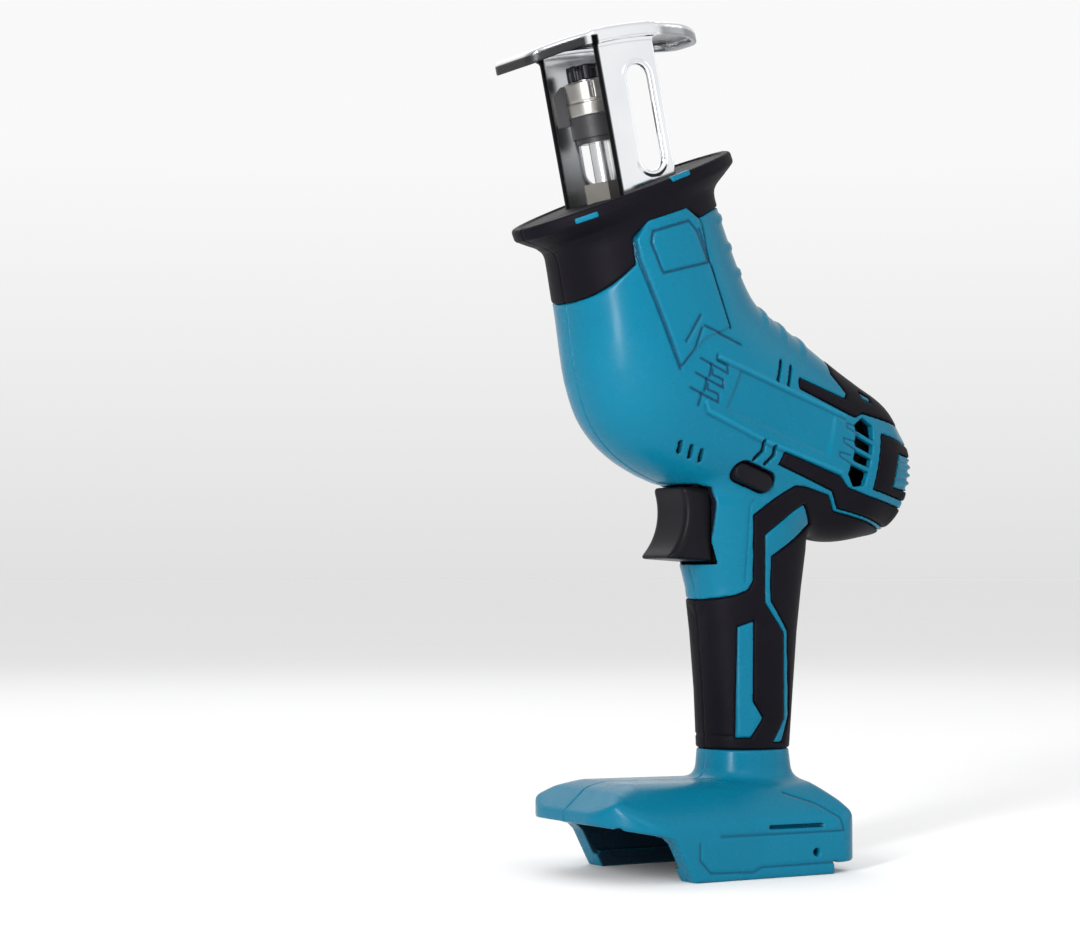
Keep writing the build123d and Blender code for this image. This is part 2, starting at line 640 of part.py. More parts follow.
# ---- write the nodes -------------------------------------------------------------------------------
DATUM_X = 6.0                   # from the drawing's datum to the point under the saw's middle


def save(name, shape):
    solids = shape if isinstance(shape, list) else [shape]
    placed = [Pos(DATUM_X, 0, 0) * piece for piece in solids]
    export_step(Compound(children=[Part(p.wrapped) for p in placed]), f"parts/{name}.step")


def save_pair(name, shape):
    save(name + "_left", side(shape, -1))
    save(name + "_right", side(shape, 1))


def main():
    shell, outer_skin, area, screws = build_housing()
    save_pair("housing", shell)
    boot, clips = build_boot(outer_skin, area["boot"])
    save("nose_boot", boot)
    save("boot_clips", clips)
    save_pair("grip", (outer_skin & area["grip"]) - button_hole())
    save_pair("motor_strip", outer_skin & area["strip"])
    save_pair("tail_bumper", outer_skin & area["tail"])
    save("shoe", build_shoe())
    save("shoe_screws", build_shoe_screws())
    base, pin, cap = build_clamp()
    save("clamp_body", base)
    save("clamp_pin", pin)
    save("clamp_cap", cap)
    steel, band, lever = build_collar()
    save("clamp_collar", steel)
    save("clamp_band", band)
    save("clamp_lever", lever)
    save("plunger", build_plunger())
    save("yoke", build_yoke())
    bush, seal, gland = build_guides()
    save("plunger_bush", bush)
    save("felt_seal", seal)
    save("gland_nut", gland)
    gear, axle, crank_pin = build_crank()
    save("crank_gear", gear)
    save("crank_axle", axle)
    save("crank_pin", crank_pin)
    save("crank_bearing_inner", bearing(CROSS, 9.4, 13.4, 7.0, AXLE_R))
    save("crank_bearing_outer", bearing(CROSS, 14.4, 18.4, 7.0, AXLE_R))
    save("bevel_pinion", build_pinion())
    case_left, case_right = build_gear_case()
    save("gear_case_left", case_left)
    save("gear_case_right", case_right)
    save("gear_case_screws", build_case_screws())
    can, magnets, end_cap, front_bearing, rear_bearing, brushes, holders = build_motor()
    save("motor_can", can)
    save("motor_magnets", magnets)
    save("motor_end_cap", end_cap)
    save("motor_front_bearing", front_bearing)
    save("motor_rear_bearing", rear_bearing)
    save("motor_brushes", brushes)
    save("brush_holders", holders)
    shaft, stack, windings, commutator, fan = build_rotor()
    save("motor_shaft", shaft)
    save("armature_stack", stack)
    save("armature_windings", windings)
    save("commutator", commutator)
    save("motor_fan", fan)
    save("trigger", build_trigger())
    switch, stem, spring = build_switch()
    save("switch_body", switch)
    save("trigger_stem", stem)
    save("trigger_spring", spring)
    save("lock_button", build_button())
    block_body, blades = build_terminals()
    save("terminal_block", block_body)
    save("terminal_blades", blades)
    save("housing_screws", screws)


if __name__ == "__main__":
    main()
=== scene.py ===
import json
import math
import bpy
import numpy as np
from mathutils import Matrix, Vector


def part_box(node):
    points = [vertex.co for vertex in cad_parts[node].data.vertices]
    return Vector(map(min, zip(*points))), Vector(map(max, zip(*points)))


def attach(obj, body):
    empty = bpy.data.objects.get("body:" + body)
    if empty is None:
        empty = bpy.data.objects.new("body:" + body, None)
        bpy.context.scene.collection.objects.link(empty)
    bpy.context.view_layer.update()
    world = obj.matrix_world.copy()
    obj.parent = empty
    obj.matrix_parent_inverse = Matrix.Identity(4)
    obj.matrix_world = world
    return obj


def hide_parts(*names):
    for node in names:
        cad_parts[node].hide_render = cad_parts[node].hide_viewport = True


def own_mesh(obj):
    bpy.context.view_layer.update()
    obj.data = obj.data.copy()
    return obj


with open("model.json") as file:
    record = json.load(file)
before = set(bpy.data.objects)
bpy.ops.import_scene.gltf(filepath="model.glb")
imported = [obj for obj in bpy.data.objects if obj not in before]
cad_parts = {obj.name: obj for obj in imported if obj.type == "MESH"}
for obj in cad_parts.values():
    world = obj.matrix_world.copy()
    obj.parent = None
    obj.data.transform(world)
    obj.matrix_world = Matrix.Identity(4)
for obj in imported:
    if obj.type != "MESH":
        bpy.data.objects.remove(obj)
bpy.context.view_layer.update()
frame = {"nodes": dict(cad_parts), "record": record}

# Outlines and sizes below are in millimetres in the frame's own axes; M turns them into metres.
M = 0.001
HOUSING_STEP = 0.6
RUBBER_STEP = 0.5
METAL_STEP = 0.45

# ---- the housing's form ----
# Chords from the front or lower edge to the back or upper edge, with the half width.
BODY = [
    (-64.3, 226.5, -3.5, 251.6, 28.0),
    (-60.0, 205.0, 7.5, 224.5, 29.5),
    (-55.0, 176.0, 15.5, 211.5, 30.0),
    (-46.0, 158.0, 25.0, 205.0, 30.0),
    (-27.0, 145.0, 37.5, 197.5, 30.0),
    (9.0, 134.0, 51.0, 188.5, 30.0),
    (35.0, 127.0, 61.0, 182.5, 29.5),
    (54.0, 121.5, 73.0, 175.5, 28.0),
    (75.0, 124.0, 83.0, 164.0, 22.0),
]
BODY_POWER = 2.25
TAIL_ROUND = 5.0
# Handle sections: height, middle X, half length, half width.
HANDLE = [
    (24.0, 17.0, 22.0, 20.0),
    (34.0, 16.8, 17.6, 16.4),
    (44.0, 16.6, 16.6, 15.5),
    (66.0, 17.0, 18.0, 16.0),
    (88.0, 17.0, 20.0, 16.5),
    (104.0, 17.0, 22.0, 17.2),
    (118.0, 16.0, 25.0, 18.5),
    (134.0, 14.0, 28.0, 20.0),
    (150.0, 14.0, 26.0, 20.0),
]
HANDLE_POWER = 2.4
HANDLE_Z = (24.0, 146.0)  # the handle's ends, inside the foot and the body
BLEND = 5.0  # radius of the fillets where body, handle and foot meet
INSIDE = (0.0, 150.0)  # a point inside the body, in the side view
SWEEP_ROWS = 260
NOSE_RUN, TAIL_RUN = 9.0, 12.0  # how far the sweep goes on past its end chords
NOSE_PAST, TAIL_PAST = 2.0, 1.0  # how far the solid body goes on past them
FAR = 9.0  # place given to a point that no chord meets, well outside


def smooth_step(t):
    t = np.clip(t, 0, 1)
    return t * t * (3 - 2 * t)


def smooth_min(a, b, k):
    h = np.clip(0.5 + 0.5 * (b - a) / k, 0, 1)
    return b * (1 - h) + a * h - k * h * (1 - h)


def smooth_max(a, b, k):
    return -smooth_min(-a, -b, k)


def between(value, low, high):
    """Distance inside a band, positive between its ends."""
    return np.minimum(value - low, high - value)


def curve_rows(rows, count):
    """Smooth rows through the given ones, evenly spaced by index."""
    rows = np.array(rows, float)
    slope = np.gradient(rows, axis=0)
    t = np.linspace(0, len(rows) - 1, count)
    i = np.minimum(t.astype(int), len(rows) - 2)
    f = (t - i)[:, None]
    return ((2 * f**3 - 3 * f**2 + 1) * rows[i] + (f**3 - 2 * f**2 + f) * slope[i]
            + (-2 * f**3 + 3 * f**2) * rows[i + 1] + (f**3 - f**2) * slope[i + 1])


def superellipse(u, a, v, b, power):
    """Rough distance in from the surface of |u/a|^p + |v/b|^p = 1, positive inside."""
    pu, pv = np.abs(u / a), np.abs(v / b)
    r = np.maximum((pu**power + pv**power) ** (1 / power), 1e-4)
    slope = np.sqrt((pu / r) ** (2 * power - 2) / a**2 + (pv / r) ** (2 * power - 2) / b**2)
    return (1 - r) / np.maximum(slope, 1e-4)


def beyond(row, other, distance):
    """A row moved away from its neighbour, square to its own chord."""
    x0, z0, x1, z1, half = row
    along = np.array([x1 - x0, z1 - z0]) / math.hypot(x1 - x0, z1 - z0)
    normal = np.array([-along[1], along[0]])
    middle = np.array([(x0 + x1) / 2, (z0 + z1) / 2])
    away = middle - np.array([(other[0] + other[2]) / 2, (other[1] + other[3]) / 2])
    shift = normal * math.copysign(distance, float(normal @ away))
    return (x0 + shift[0], z0 + shift[1], x1 + shift[0], z1 + shift[1], half)


def sweep_map(x, z):
    """For each point of the middle plane: its place along its chord, and the chord's half sizes."""
    rows = [beyond(BODY[0], BODY[1], NOSE_RUN)] + BODY + [beyond(BODY[-1], BODY[-2], TAIL_RUN)]
    rows = curve_rows(rows, SWEEP_ROWS)
    place = np.full(x.shape, FAR, np.float32)
    half_chord = np.full(x.shape, 30.0, np.float32)
    half_width = np.full(x.shape, 30.0, np.float32)
    before = None
    for k, (x0, z0, x1, z1, width) in enumerate(rows):
        side = (x - x0) * (z1 - z0) - (z - z0) * (x1 - x0)
        if before is not None:
            hit = (before > 0) & (side <= 0)
            f = np.where(hit, before / (before - side + 1e-9), 0)
            ends = [rows[k - 1][j] * (1 - f) + rows[k][j] * f for j in range(5)]
            length = np.hypot(ends[2] - ends[0], ends[3] - ends[1])
            along = ((x - ends[0]) * (ends[2] - ends[0]) + (z - ends[1]) * (ends[3] - ends[1])) / length**2
            near = np.abs(along * 2 - 1) < np.abs(place)
            use = hit & near
            place = np.where(use, along * 2 - 1, place)
            half_chord = np.where(use, length / 2, half_chord)
            half_width = np.where(use, ends[4], half_width)
        before = side
    return place, half_chord, half_width


def chord_distance(x, z, row, inward):
    """Distance from a chord's line, positive towards the given point."""
    x0, z0, x1, z1 = row[:4]
    length = math.hypot(x1 - x0, z1 - z0)
    side = ((x - x0) * (z1 - z0) - (z - z0) * (x1 - x0)) / length
    sign = (inward[0] - x0) * (z1 - z0) - (inward[1] - z0) * (x1 - x0)
    return side * math.copysign(1, sign)


# ---- outlines in the side view ----
def segment_distance(x, z, a, b):
    ax, az = a
    bx, bz = b
    length = (bx - ax) ** 2 + (bz - az) ** 2
    t = np.clip(((x - ax) * (bx - ax) + (z - az) * (bz - az)) / max(length, 1e-9), 0, 1)
    return np.hypot(x - ax - t * (bx - ax), z - az - t * (bz - az))


def line_distance(x, z, points):
    """Distance to an open line of straight stretches."""
    d = segment_distance(x, z, points[0], points[1])
    for a, b in zip(points[1:], points[2:]):
        d = np.minimum(d, segment_distance(x, z, a, b))
    return d


def area_distance(x, z, points):
    """Signed distance to a closed outline, positive inside."""
    closed = list(points) + [points[0]]
    inside = np.zeros(np.broadcast(x, z).shape, bool)
    for (ax, az), (bx, bz) in zip(closed, closed[1:]):
        if az == bz:
            continue
        crosses = (az > z) != (bz > z)
        inside ^= crosses & (x < (bx - ax) * (z - az) / (bz - az) + ax)
    d = line_distance(x, z, closed)
    return np.where(inside, d, -d)


BOOT_EDGE = [(-80, 205.2), (-65.6, 205.6), (-60.8, 206.2), (-57, 208.6), (-53.0, 212.0), (-46.3, 219.2),
             (-47.8, 228.2), (-43.3, 235.9), (-26.2, 241.8), (-19.7, 237.8), (-12.0, 241.4), (12, 250)]
BOOT_AREA = BOOT_EDGE + [(20, 275), (-90, 275)]
PANEL = [(-47.0, 228.0), (-42.9, 235.2), (-26.3, 241.0), (-19.6, 236.8), (-16.2, 221.0), (-7.9, 198.0),
         (-20.0, 193.0), (-29.4, 182.3), (-45.4, 221.0)]
WINDOW = [(-40.6, 231.0), (-25.6, 235.8), (-22.2, 232.4), (-17.6, 221.2), (-36.9, 216.2), (-41.3, 227.0)]
NOSE_LINES = [
    PANEL[7:] + PANEL[:6],
    [(-21.0, 233.0), (-16.4, 221.0), (-8.4, 198.5)],
    [(-21.9, 201.8), (-28.0, 192.0)],
    [(-20.1, 198.1), (-3.1, 192.1)],
    [(-21.3, 197.3), (-24.3, 189.6), (-29.1, 183.4)],
]
MOTOR_PANEL = [(-4.0, 183.6), (39.6, 167.8), (35.6, 151.6), (-10.9, 168.0)]
MOTOR_LINES = [
    [(-13.1, 187.2), (44.0, 167.6)],
    [(-18.5, 171.0), (-17.2, 167.8), (7.8, 157.4), (42.4, 146.6)],
]
SLITS = [
    [(15.8, 186.9), (13.1, 179.7)],
    [(20.4, 185.1), (17.9, 178.2)],
    [(7.2, 157.4), (7.0, 154.1), (4.2, 150.9)],
    [(12.0, 155.5), (11.8, 152.4), (9.1, 149.2)],
    [(-16.9, 153.6), (-16.1, 150.2)],
    [(-21.0, 155.0), (-20.3, 151.5)],
    [(-25.3, 156.5), (-24.6, 153.0)],
]
WAVE = [(-21.3, 186.4), (-9.6, 181.3), (-9.8, 184.3), (-14.4, 186.0), (-14.1, 187.8)]
WAVE_LINK = [(-16.6, 184.3), (-17.6, 180.0)]
WAVE_STEP = (-1.9, -5.3)
VENT_AREA = [(48.2, 164.6), (52.6, 167.4), (57.4, 164.4), (56.4, 156.0), (53.2, 142.0), (48.2, 141.4),
             (45.2, 146.2), (47.4, 154.0)]
VENT_BARS = [[(44.3, 163.2), (57.5, 157.4)], [(42.5, 157.6), (56.2, 152.4)], [(40.8, 152.4), (55.0, 147.6)]]
UPPER_STRIP = [(23.7, 181.0), (45.7, 173.9), (47.4, 176.3), (42.6, 183.6), (46.0, 190.0), (70.0, 186.0),
               (100.0, 166.0), (100.0, 158.8), (92.0, 161.9), (53.0, 169.2), (48.9, 167.5), (46.4, 168.3),
               (23.1, 177.3)]
LOWER_STRIP = [(16.5, 153.4), (42.1, 144.9), (46.0, 141.0), (57.0, 137.6), (100.0, 128.8), (100.0, 121.0),
               (44.6, 133.6), (39.9, 140.0), (15.0, 149.2)]
TAIL_C = [(61.5, 161.4), (100.0, 153.0), (100.0, 132.2), (57.7, 140.7)]
BADGE = [(71.0, 154.6), (100.0, 150.0), (100.0, 137.6), (68.0, 141.4)]
GRIP_AREA = [(-30, 98.0), (-8.0, 98.6), (4.0, 101.0), (8.6, 103.0), (10.4, 106.5), (9.0, 130.5),
             (24.1, 141.2), (28.3, 141.0), (38.9, 138.0), (43.4, 132.3), (100.0, 119.4), (100.0, 60.0),
             (60.0, 44.5), (-30.0, 44.5)]
INLAY = [(14.0, 123.6), (30.8, 135.2), (38.0, 127.6), (17.6, 115.2), (18.3, 99.2), (26.6, 88.1), (28.5, 56.5),
         (24.4, 46.7), (19.4, 46.7), (25.2, 55.4), (24.3, 87.2), (15.4, 98.2)]
GRIP_BAR = [(4.7, 89.7), (11.0, 92.0), (11.4, 62.0), (15.4, 55.9), (10.4, 48.6), (5.0, 48.6)]
STRAP_MARK = [(55.6, 177.6), (61.8, 175.4), (60.8, 173.2), (56.6, 174.4)]
GRIP_LINES = [[(-8.0, 49.6), (4.0, 49.2)], [(-3.5, 97.0), (-3.0, 49.6)]]
TRIGGER_ROOM = [(-60, 142.6), (-12.0, 142.0), (-7.2, 140.6), (-5.4, 135.5), (-5.4, 123.5), (-8.4, 113.3),
                (-16.0, 112.6), (-60, 110.0)]
ROOM_HALF = 17.5
TRIGGER_DEPTH = (-60.0, 5.0, 12.0, 112.6, 142.0)  # low and high X, half width, low and high Z
SPRING_BORE = (124.0, 4.5, 7.0)  # height, radius and end of the bore round stem and spring
BORE_START = -4.0
BUTTON = [(1.2, 146.3), (11.0, 142.7)]  # ends of the lock button's middle line
BUTTON_R = 3.5
BUTTON_GAP = 0.45
SPINE_BARS = [(-12.5, 236.5, 0.5, 241.5), (-9.5, 226.5, 4.0, 230.5), (-5.5, 217.0, 8.0, 221.5),
              (11.0, 198.0, 19.5, 210.5), (20.5, 194.0, 28.5, 206.0), (30.0, 190.0, 37.5, 201.0)]
SPINE_BAR_R, SPINE_RISE, SPINE_HALF = 1.7, 0.7, 24.0
BED_DEPTH, BED_MARGIN = 1.5, 0.55  # the sunk beds that the rubber lies in
RIB_PITCH, RIB_RISE = 3.1, 0.45  # the ribs across the tail badge
SIDE_FLOOR = 12.0  # side openings are cut from this far out
SLIT_R, SLIT_DEPTH = 0.75, 2.2
VENT_BAR_R = 0.8
HOLLOW_X, HOLLOW_TOP = (42.0, 62.0), 169.0  # the space behind the vents
WALL = 3.4  # left standing outside that space

# ---- the battery foot ----
FOOT_X = (-61.5, 44.7)
FOOT_HALF = 37.0
FOOT_SIDE = [(-61.5, 24.4), (-61.0, 20.4), (-42.2, 17.0), (-38.0, 15.8), (-35.6, 13.6), (-28.5, 0.0),
             (32.0, 0.0), (32.0, 4.0), (44.7, 4.0), (44.7, 17.0), (39.5, 26.0), (33.0, 33.0), (-44.0, 35.0),
             (-52.5, 32.0)]
FOOT_FRONT_R = 24.0
FOOT_REAR_R = 10.0
CROWN_TOP, CROWN_FALL = 34.6, 14.0  # the foot's top falls away towards its sides
CROWN_FLAT, CROWN_RUN, CROWN_POWER = 13.0, 24.0, 1.7
HOOD_Z, HOOD_SLOPE = 24.4, 0.9  # the hood's front edge and the slope behind it
# Boxes cut from the foot: low and high X, half width, low and high Z. The last seats the terminal block.
BAY = [(-80, 26, 29.0, 6.0, 16.0), (-80, 26, 26.5, -5.0, 7.0), (-56, -30, 29.0, 5.0, 20.0),
       (8.0, 25.9, 19.0, 13.9, 21.0)]
FOOT_SLOT = [(3.6, 18.2), (26.4, 18.0)]
FOOT_LINES = [
    [(16.0, 29.4), (26.5, 25.6), (34.5, 20.4), (36.0, 15.6), (-18.0, 15.9)],
    [(-26.8, 13.6), (-27.0, 8.0), (-22.5, 3.3), (-4.1, 2.6), (-0.5, 4.2), (33.0, 4.4)],
]
HOOK_HOLE, HOOK_R, HOOK_FLOOR = (23.9, 8.3), 1.5, 31.0


def rounded_box(x, y, ends, half, front_r, rear_r):
    """Distance inside the foot's plan, with its own corner radius at each end."""
    x_low, x_high = ends
    middle = (x_low + x_high) / 2
    radius = np.where(x < middle, front_r, rear_r)
    qx = np.abs(x - middle) - (x_high - x_low) / 2 + radius
    qy = np.abs(y) - half + radius
    outside = np.hypot(np.maximum(qx, 0), np.maximum(qy, 0))
    return radius - outside - np.minimum(np.maximum(qx, qy), 0)


def box_field(x, y, z, limits):
    """Distance inside a box that is centred on the middle plane."""
    x0, x1, half, z0, z1 = limits
    return np.minimum(np.minimum(between(x, x0, x1), half - np.abs(y)), between(z, z0, z1))


def foot_field(x, y, z):
    """The battery foot: its side outline, its rounded plan, its crowned top and its hood."""
    side = area_distance(x, z, FOOT_SIDE)
    plan = rounded_box(x, y, FOOT_X, FOOT_HALF, FOOT_FRONT_R, FOOT_REAR_R)
    fall = np.clip((np.abs(y) - CROWN_FLAT) / CROWN_RUN, 0, 2) ** CROWN_POWER
    crown = CROWN_TOP - CROWN_FALL * fall - z
    front = (x - FOOT_X[0]) * HOOD_SLOPE + HOOD_Z - z
    shape = smooth_min(smooth_min(side, plan, 1.2), crown, 3.0)
    return smooth_min(shape, front, 2.0)


# ---- fields ----
class Grid:
    """Sample points of a box, as arrays that broadcast to three dimensions."""

    def __init__(self, low, high, step):
        self.low = np.array(low, float)
        self.step = step
        counts = [int(math.ceil((h - l) / step)) + 1 for l, h in zip(low, high)]
        axes = [(np.arange(n) * step + l).astype(np.float32) for n, l in zip(counts, low)]
        self.x = axes[0][:, None, None]
        self.y = axes[1][None, :, None]
        self.z = axes[2][None, None, :]


def housing_form(g):
    """The smooth outer form of body, handle and foot."""
    place, half_chord, half_width = sweep_map(g.x, g.z)
    body = superellipse(place * half_chord, half_chord, g.y, half_width, BODY_POWER)
    tail = chord_distance(g.x, g.z, beyond(BODY[-1], BODY[-2], TAIL_PAST), INSIDE)
    nose = chord_distance(g.x, g.z, BODY[0], INSIDE)
    body = smooth_min(body, tail, TAIL_ROUND)
    body = np.minimum(body, nose + NOSE_PAST)
    rows = np.array(HANDLE)
    middle, half_a, half_b = (np.interp(g.z, rows[:, 0], rows[:, k]).astype(np.float32) for k in (1, 2, 3))
    handle = superellipse(g.x - middle, half_a, g.y, half_b, HANDLE_POWER)
    handle = np.minimum(handle, between(g.z, *HANDLE_Z))
    form = smooth_max(body, handle, BLEND)
    return smooth_max(form, foot_field(g.x, g.y, g.z), BLEND)


def rubber_maps(x, z):
    """Side-view areas of the soft overmould, positive inside."""
    grip = area_distance(x, z, GRIP_AREA)
    grip = np.minimum(grip, -area_distance(x, z, INLAY))
    grip = np.minimum(grip, -area_distance(x, z, GRIP_BAR))
    tail = np.minimum(area_distance(x, z, TAIL_C), -area_distance(x, z, BADGE))
    return {
        "grip": grip,
        "tail_bumper": np.maximum(tail, area_distance(x, z, LOWER_STRIP)),
        "motor_strip": np.minimum(area_distance(x, z, UPPER_STRIP), -area_distance(x, z, STRAP_MARK)),
        "boot": area_distance(x, z, BOOT_AREA),
    }


def vent_map(x, z):
    """The vents between their bars, positive inside."""
    vent = area_distance(x, z, VENT_AREA)
    for bar in VENT_BARS:
        vent = np.minimum(vent, line_distance(x, z, bar) - VENT_BAR_R)
    return vent


def button_map(x, z):
    """The lock button's hole, positive inside."""
    return BUTTON_R + BUTTON_GAP - line_distance(x, z, BUTTON)


def room_map(x, y, z):
    """The trigger's room, open at the sides, positive inside."""
    return np.minimum(area_distance(x, z, TRIGGER_ROOM), ROOM_HALF - np.abs(y))


def sidewards(y):
    """How fully a side detail shows: none at the parting line, all of it further out."""
    return smooth_step((np.abs(y) - 4.0) / 5.0)


def groove(x, z, line, width, depth):
    """A round-bottomed groove along a line: how far it stands out, so below zero."""
    return -depth * smooth_step(1 - line_distance(x, z, line) / width)


def panels(x, z):
    """The raised nose panel and the sunk motor panel."""
    detail = 0.9 * smooth_step(area_distance(x, z, PANEL) / 0.9)
    return detail - 0.9 * smooth_step(area_distance(x, z, MOTOR_PANEL) / 1.4)


def moulded_lines(x, z):
    """Grooves and ridges moulded in the side: how far they stand out."""
    detail = groove(x, z, WINDOW + [WINDOW[0]], 0.9, 0.8)
    for line in NOSE_LINES:
        detail += groove(x, z, line, 0.9, 0.8)
    for line in MOTOR_LINES:
        detail += 0.5 * smooth_step(1 - line_distance(x, z, line) / 1.1)
        below = [(px - 0.4, pz - 1.3) for px, pz in line]
        detail += groove(x, z, below, 0.8, 0.45)
    for k in range(3):
        for line in (WAVE, WAVE_LINK):
            moved = [(px + k * WAVE_STEP[0], pz + k * WAVE_STEP[1]) for px, pz in line]
            detail += groove(x, z, moved, 0.8, 0.8)
    for a, b in VENT_BARS:
        left = a[0] + 2.6
        hook = [(left + 3.0, a[1] - 2.7), a, (a[0] - 0.4, a[1] + 1.8), (left + 2.4, a[1] + 0.6)]
        detail += groove(x, z, hook, 0.7, 0.6)
    detail += groove(x, z, [(9.0, 136.5), (6.8, 134.0), (6.8, 106.0)], 0.7, 0.4)
    for line in FOOT_LINES:
        detail += groove(x, z, line, 0.8, 0.6)
    detail += groove(x, z, FOOT_SLOT, 0.95, 2.4)
    return detail


def spine_bars(g):
    """Low bars across the nose barrel's back and the motor barrel's top."""
    spine = np.full(np.broadcast(g.x, g.z).shape, -9.0, np.float32)
    for x0, z0, x1, z1 in SPINE_BARS:
        spine = np.maximum(spine, SPINE_BAR_R - line_distance(g.x, g.z, [(x0, z0), (x1, z1)]))
    return SPINE_RISE * smooth_step(spine / 0.8) * smooth_step((SPINE_HALF - np.abs(g.y)) / 4.0)


def badge_ribs(g):
    """Ribs across the tail badge."""
    ribs = np.sin(g.z * (2 * math.pi / RIB_PITCH))
    badge = smooth_step((area_distance(g.x, g.z, BADGE) - 0.4) / 0.6)
    return badge * RIB_RISE * np.clip(ribs * 1.5, -1, 1)


def vent_hollow(g, form):
    """The hollow behind the vents."""
    room = np.minimum(form - WALL, between(g.x, *HOLLOW_X))
    return np.minimum(room, HOLLOW_TOP - g.z)


def cut_trigger_and_button(field, g):
    """The trigger's room, the bore for its stem and spring, and the lock button's hole."""
    field = smooth_min(field, -room_map(g.x, g.y, g.z), 0.8)
    field = np.minimum(field, -box_field(g.x, g.y, g.z, TRIGGER_DEPTH))
    bore = SPRING_BORE[1] - np.hypot(g.y, g.z - SPRING_BORE[0])
    bore = np.minimum(bore, between(g.x, BORE_START, SPRING_BORE[2]))
    field = np.minimum(field, -bore)
    return smooth_min(field, -np.minimum(button_map(g.x, g.z), np.abs(g.y) - SIDE_FLOOR), 0.7)


def cut_slits_and_vents(field, g, form):
    """The slits, the vents between their bars, and the space behind the vents."""
    for slit in SLITS:
        cut = SLIT_R - line_distance(g.x, g.z, slit)
        field = np.minimum(field, -np.minimum(cut, SLIT_DEPTH - form))
    field = smooth_min(field, -np.minimum(vent_map(g.x, g.z), np.abs(g.y) - SIDE_FLOOR), 0.5)
    return np.minimum(field, -vent_hollow(g, form))


def cut_foot(field, g):
    """The battery bay with the terminal block's seat, and the holes for the belt hook."""
    for limits in BAY:
        field = np.minimum(field, -box_field(g.x, g.y, g.z, limits))
    hook = np.hypot(g.x - HOOK_HOLE[0], g.z - HOOK_HOLE[1])
    return np.minimum(field, -np.minimum(HOOK_R - hook, np.abs(g.y) - HOOK_FLOOR))


def teal_field(g, form):
    """The housing half: details, sunk beds for the rubber, and its openings, cut into its form."""
    field = form + (panels(g.x, g.z) + moulded_lines(g.x, g.z)) * sidewards(g.y)
    field = field + spine_bars(g)
    for area in rubber_maps(g.x, g.z).values():
        field = field - BED_DEPTH * smooth_step((area + BED_MARGIN) / 0.6)
    field = field + badge_ribs(g)
    field = cut_trigger_and_button(field, g)
    field = cut_slits_and_vents(field, g, form)
    return cut_foot(field, g)


# ---- meshing ----
CORNERS = np.array([[i, j, k] for i in (0, 1) for j in (0, 1) for k in (0, 1)])
EDGES = [(a, b) for a in range(8) for b in range(a + 1, 8) if np.abs(CORNERS[a] - CORNERS[b]).sum() == 1]


def surface_net(field, grid):
    """Points and quads of the surface where a sampled field is zero."""
    field = field.astype(np.float32)
    inside = field > 0
    count = np.zeros([n - 1 for n in field.shape], np.int8)
    nx, ny, nz = count.shape
    for i, j, k in CORNERS:
        count += inside[i:i + nx, j:j + ny, k:k + nz]
    active = (count > 0) & (count < 8)
    cells = np.argwhere(active)
    index = np.full(active.shape, -1, np.int32)
    index[active] = np.arange(len(cells))
    at = cells[:, None, :] + CORNERS[None]
    values = field[at[..., 0], at[..., 1], at[..., 2]]
    total = np.zeros((len(cells), 3))
    hits = np.zeros(len(cells))
    for a, b in EDGES:
        va, vb = values[:, a], values[:, b]
        cross = (va > 0) != (vb > 0)
        t = np.where(cross, va / np.where(cross, va - vb, 1), 0)[:, None]
        point = CORNERS[a] + (CORNERS[b] - CORNERS[a]) * t
        total += point * cross[:, None]
        hits += cross
    points = (cells + total / hits[:, None]) * grid.step + grid.low
    quads = []
    around = {
        0: [(0, -1, -1), (0, 0, -1), (0, 0, 0), (0, -1, 0)],
        1: [(-1, 0, -1), (-1, 0, 0), (0, 0, 0), (0, 0, -1)],
        2: [(-1, -1, 0), (0, -1, 0), (0, 0, 0), (-1, 0, 0)],
    }
    for axis, offsets in around.items():
        first = [slice(None)] * 3
        second = [slice(None)] * 3
        first[axis], second[axis] = slice(None, -1), slice(1, None)
        change = inside[tuple(first)] != inside[tuple(second)]
        spots = np.argwhere(change)
        others = [a for a in range(3) if a != axis]
        keep = np.ones(len(spots), bool)
        for a in others:
            keep &= (spots[:, a] >= 1) & (spots[:, a] < active.shape[a])
        spots = spots[keep]
        ring = np.stack([index[tuple((spots + np.array(o)).T)] for o in offsets], 1)
        flip = ~inside[tuple(spots.T)]
        ring[flip] = ring[flip][:, ::-1]
        quads.append(ring)
    return points, np.concatenate(quads)


def trim(points, quads, keep):
    """Only the quads whose points are all kept, with unused points dropped."""
    quads = quads[keep[quads].all(1)]
    used = np.zeros(len(points), bool)
    used[quads] = True
    number = np.cumsum(used) - 1
    return points[used], number[quads]


def add_object(name, data):
    thing = bpy.data.objects.new(name, data)
    bpy.context.scene.collection.objects.link(thing)
    return thing


def make_piece(name, points, quads, body, slot):
    """A smooth mesh from points in millimetres, riding on its body, with its slot's material."""
    mesh = bpy.data.meshes.new(name)
    mesh.vertices.add(len(points))
    mesh.vertices.foreach_set("co", (points * M).astype(np.float32).ravel())
    mesh.loops.add(quads.size)
    mesh.loops.foreach_set("vertex_index", quads.astype(np.int32).ravel())
    mesh.polygons.add(len(quads))
    mesh.polygons.foreach_set("loop_start", np.arange(len(quads), dtype=np.int32) * 4)
    mesh.update(calc_edges=True)
    mesh.validate()
    mesh.polygons.foreach_set("use_smooth", np.ones(len(mesh.polygons), bool))
    piece = add_object(name, mesh)
    mesh.materials.append(MATERIALS[slot])
    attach(piece, body)
    return piece


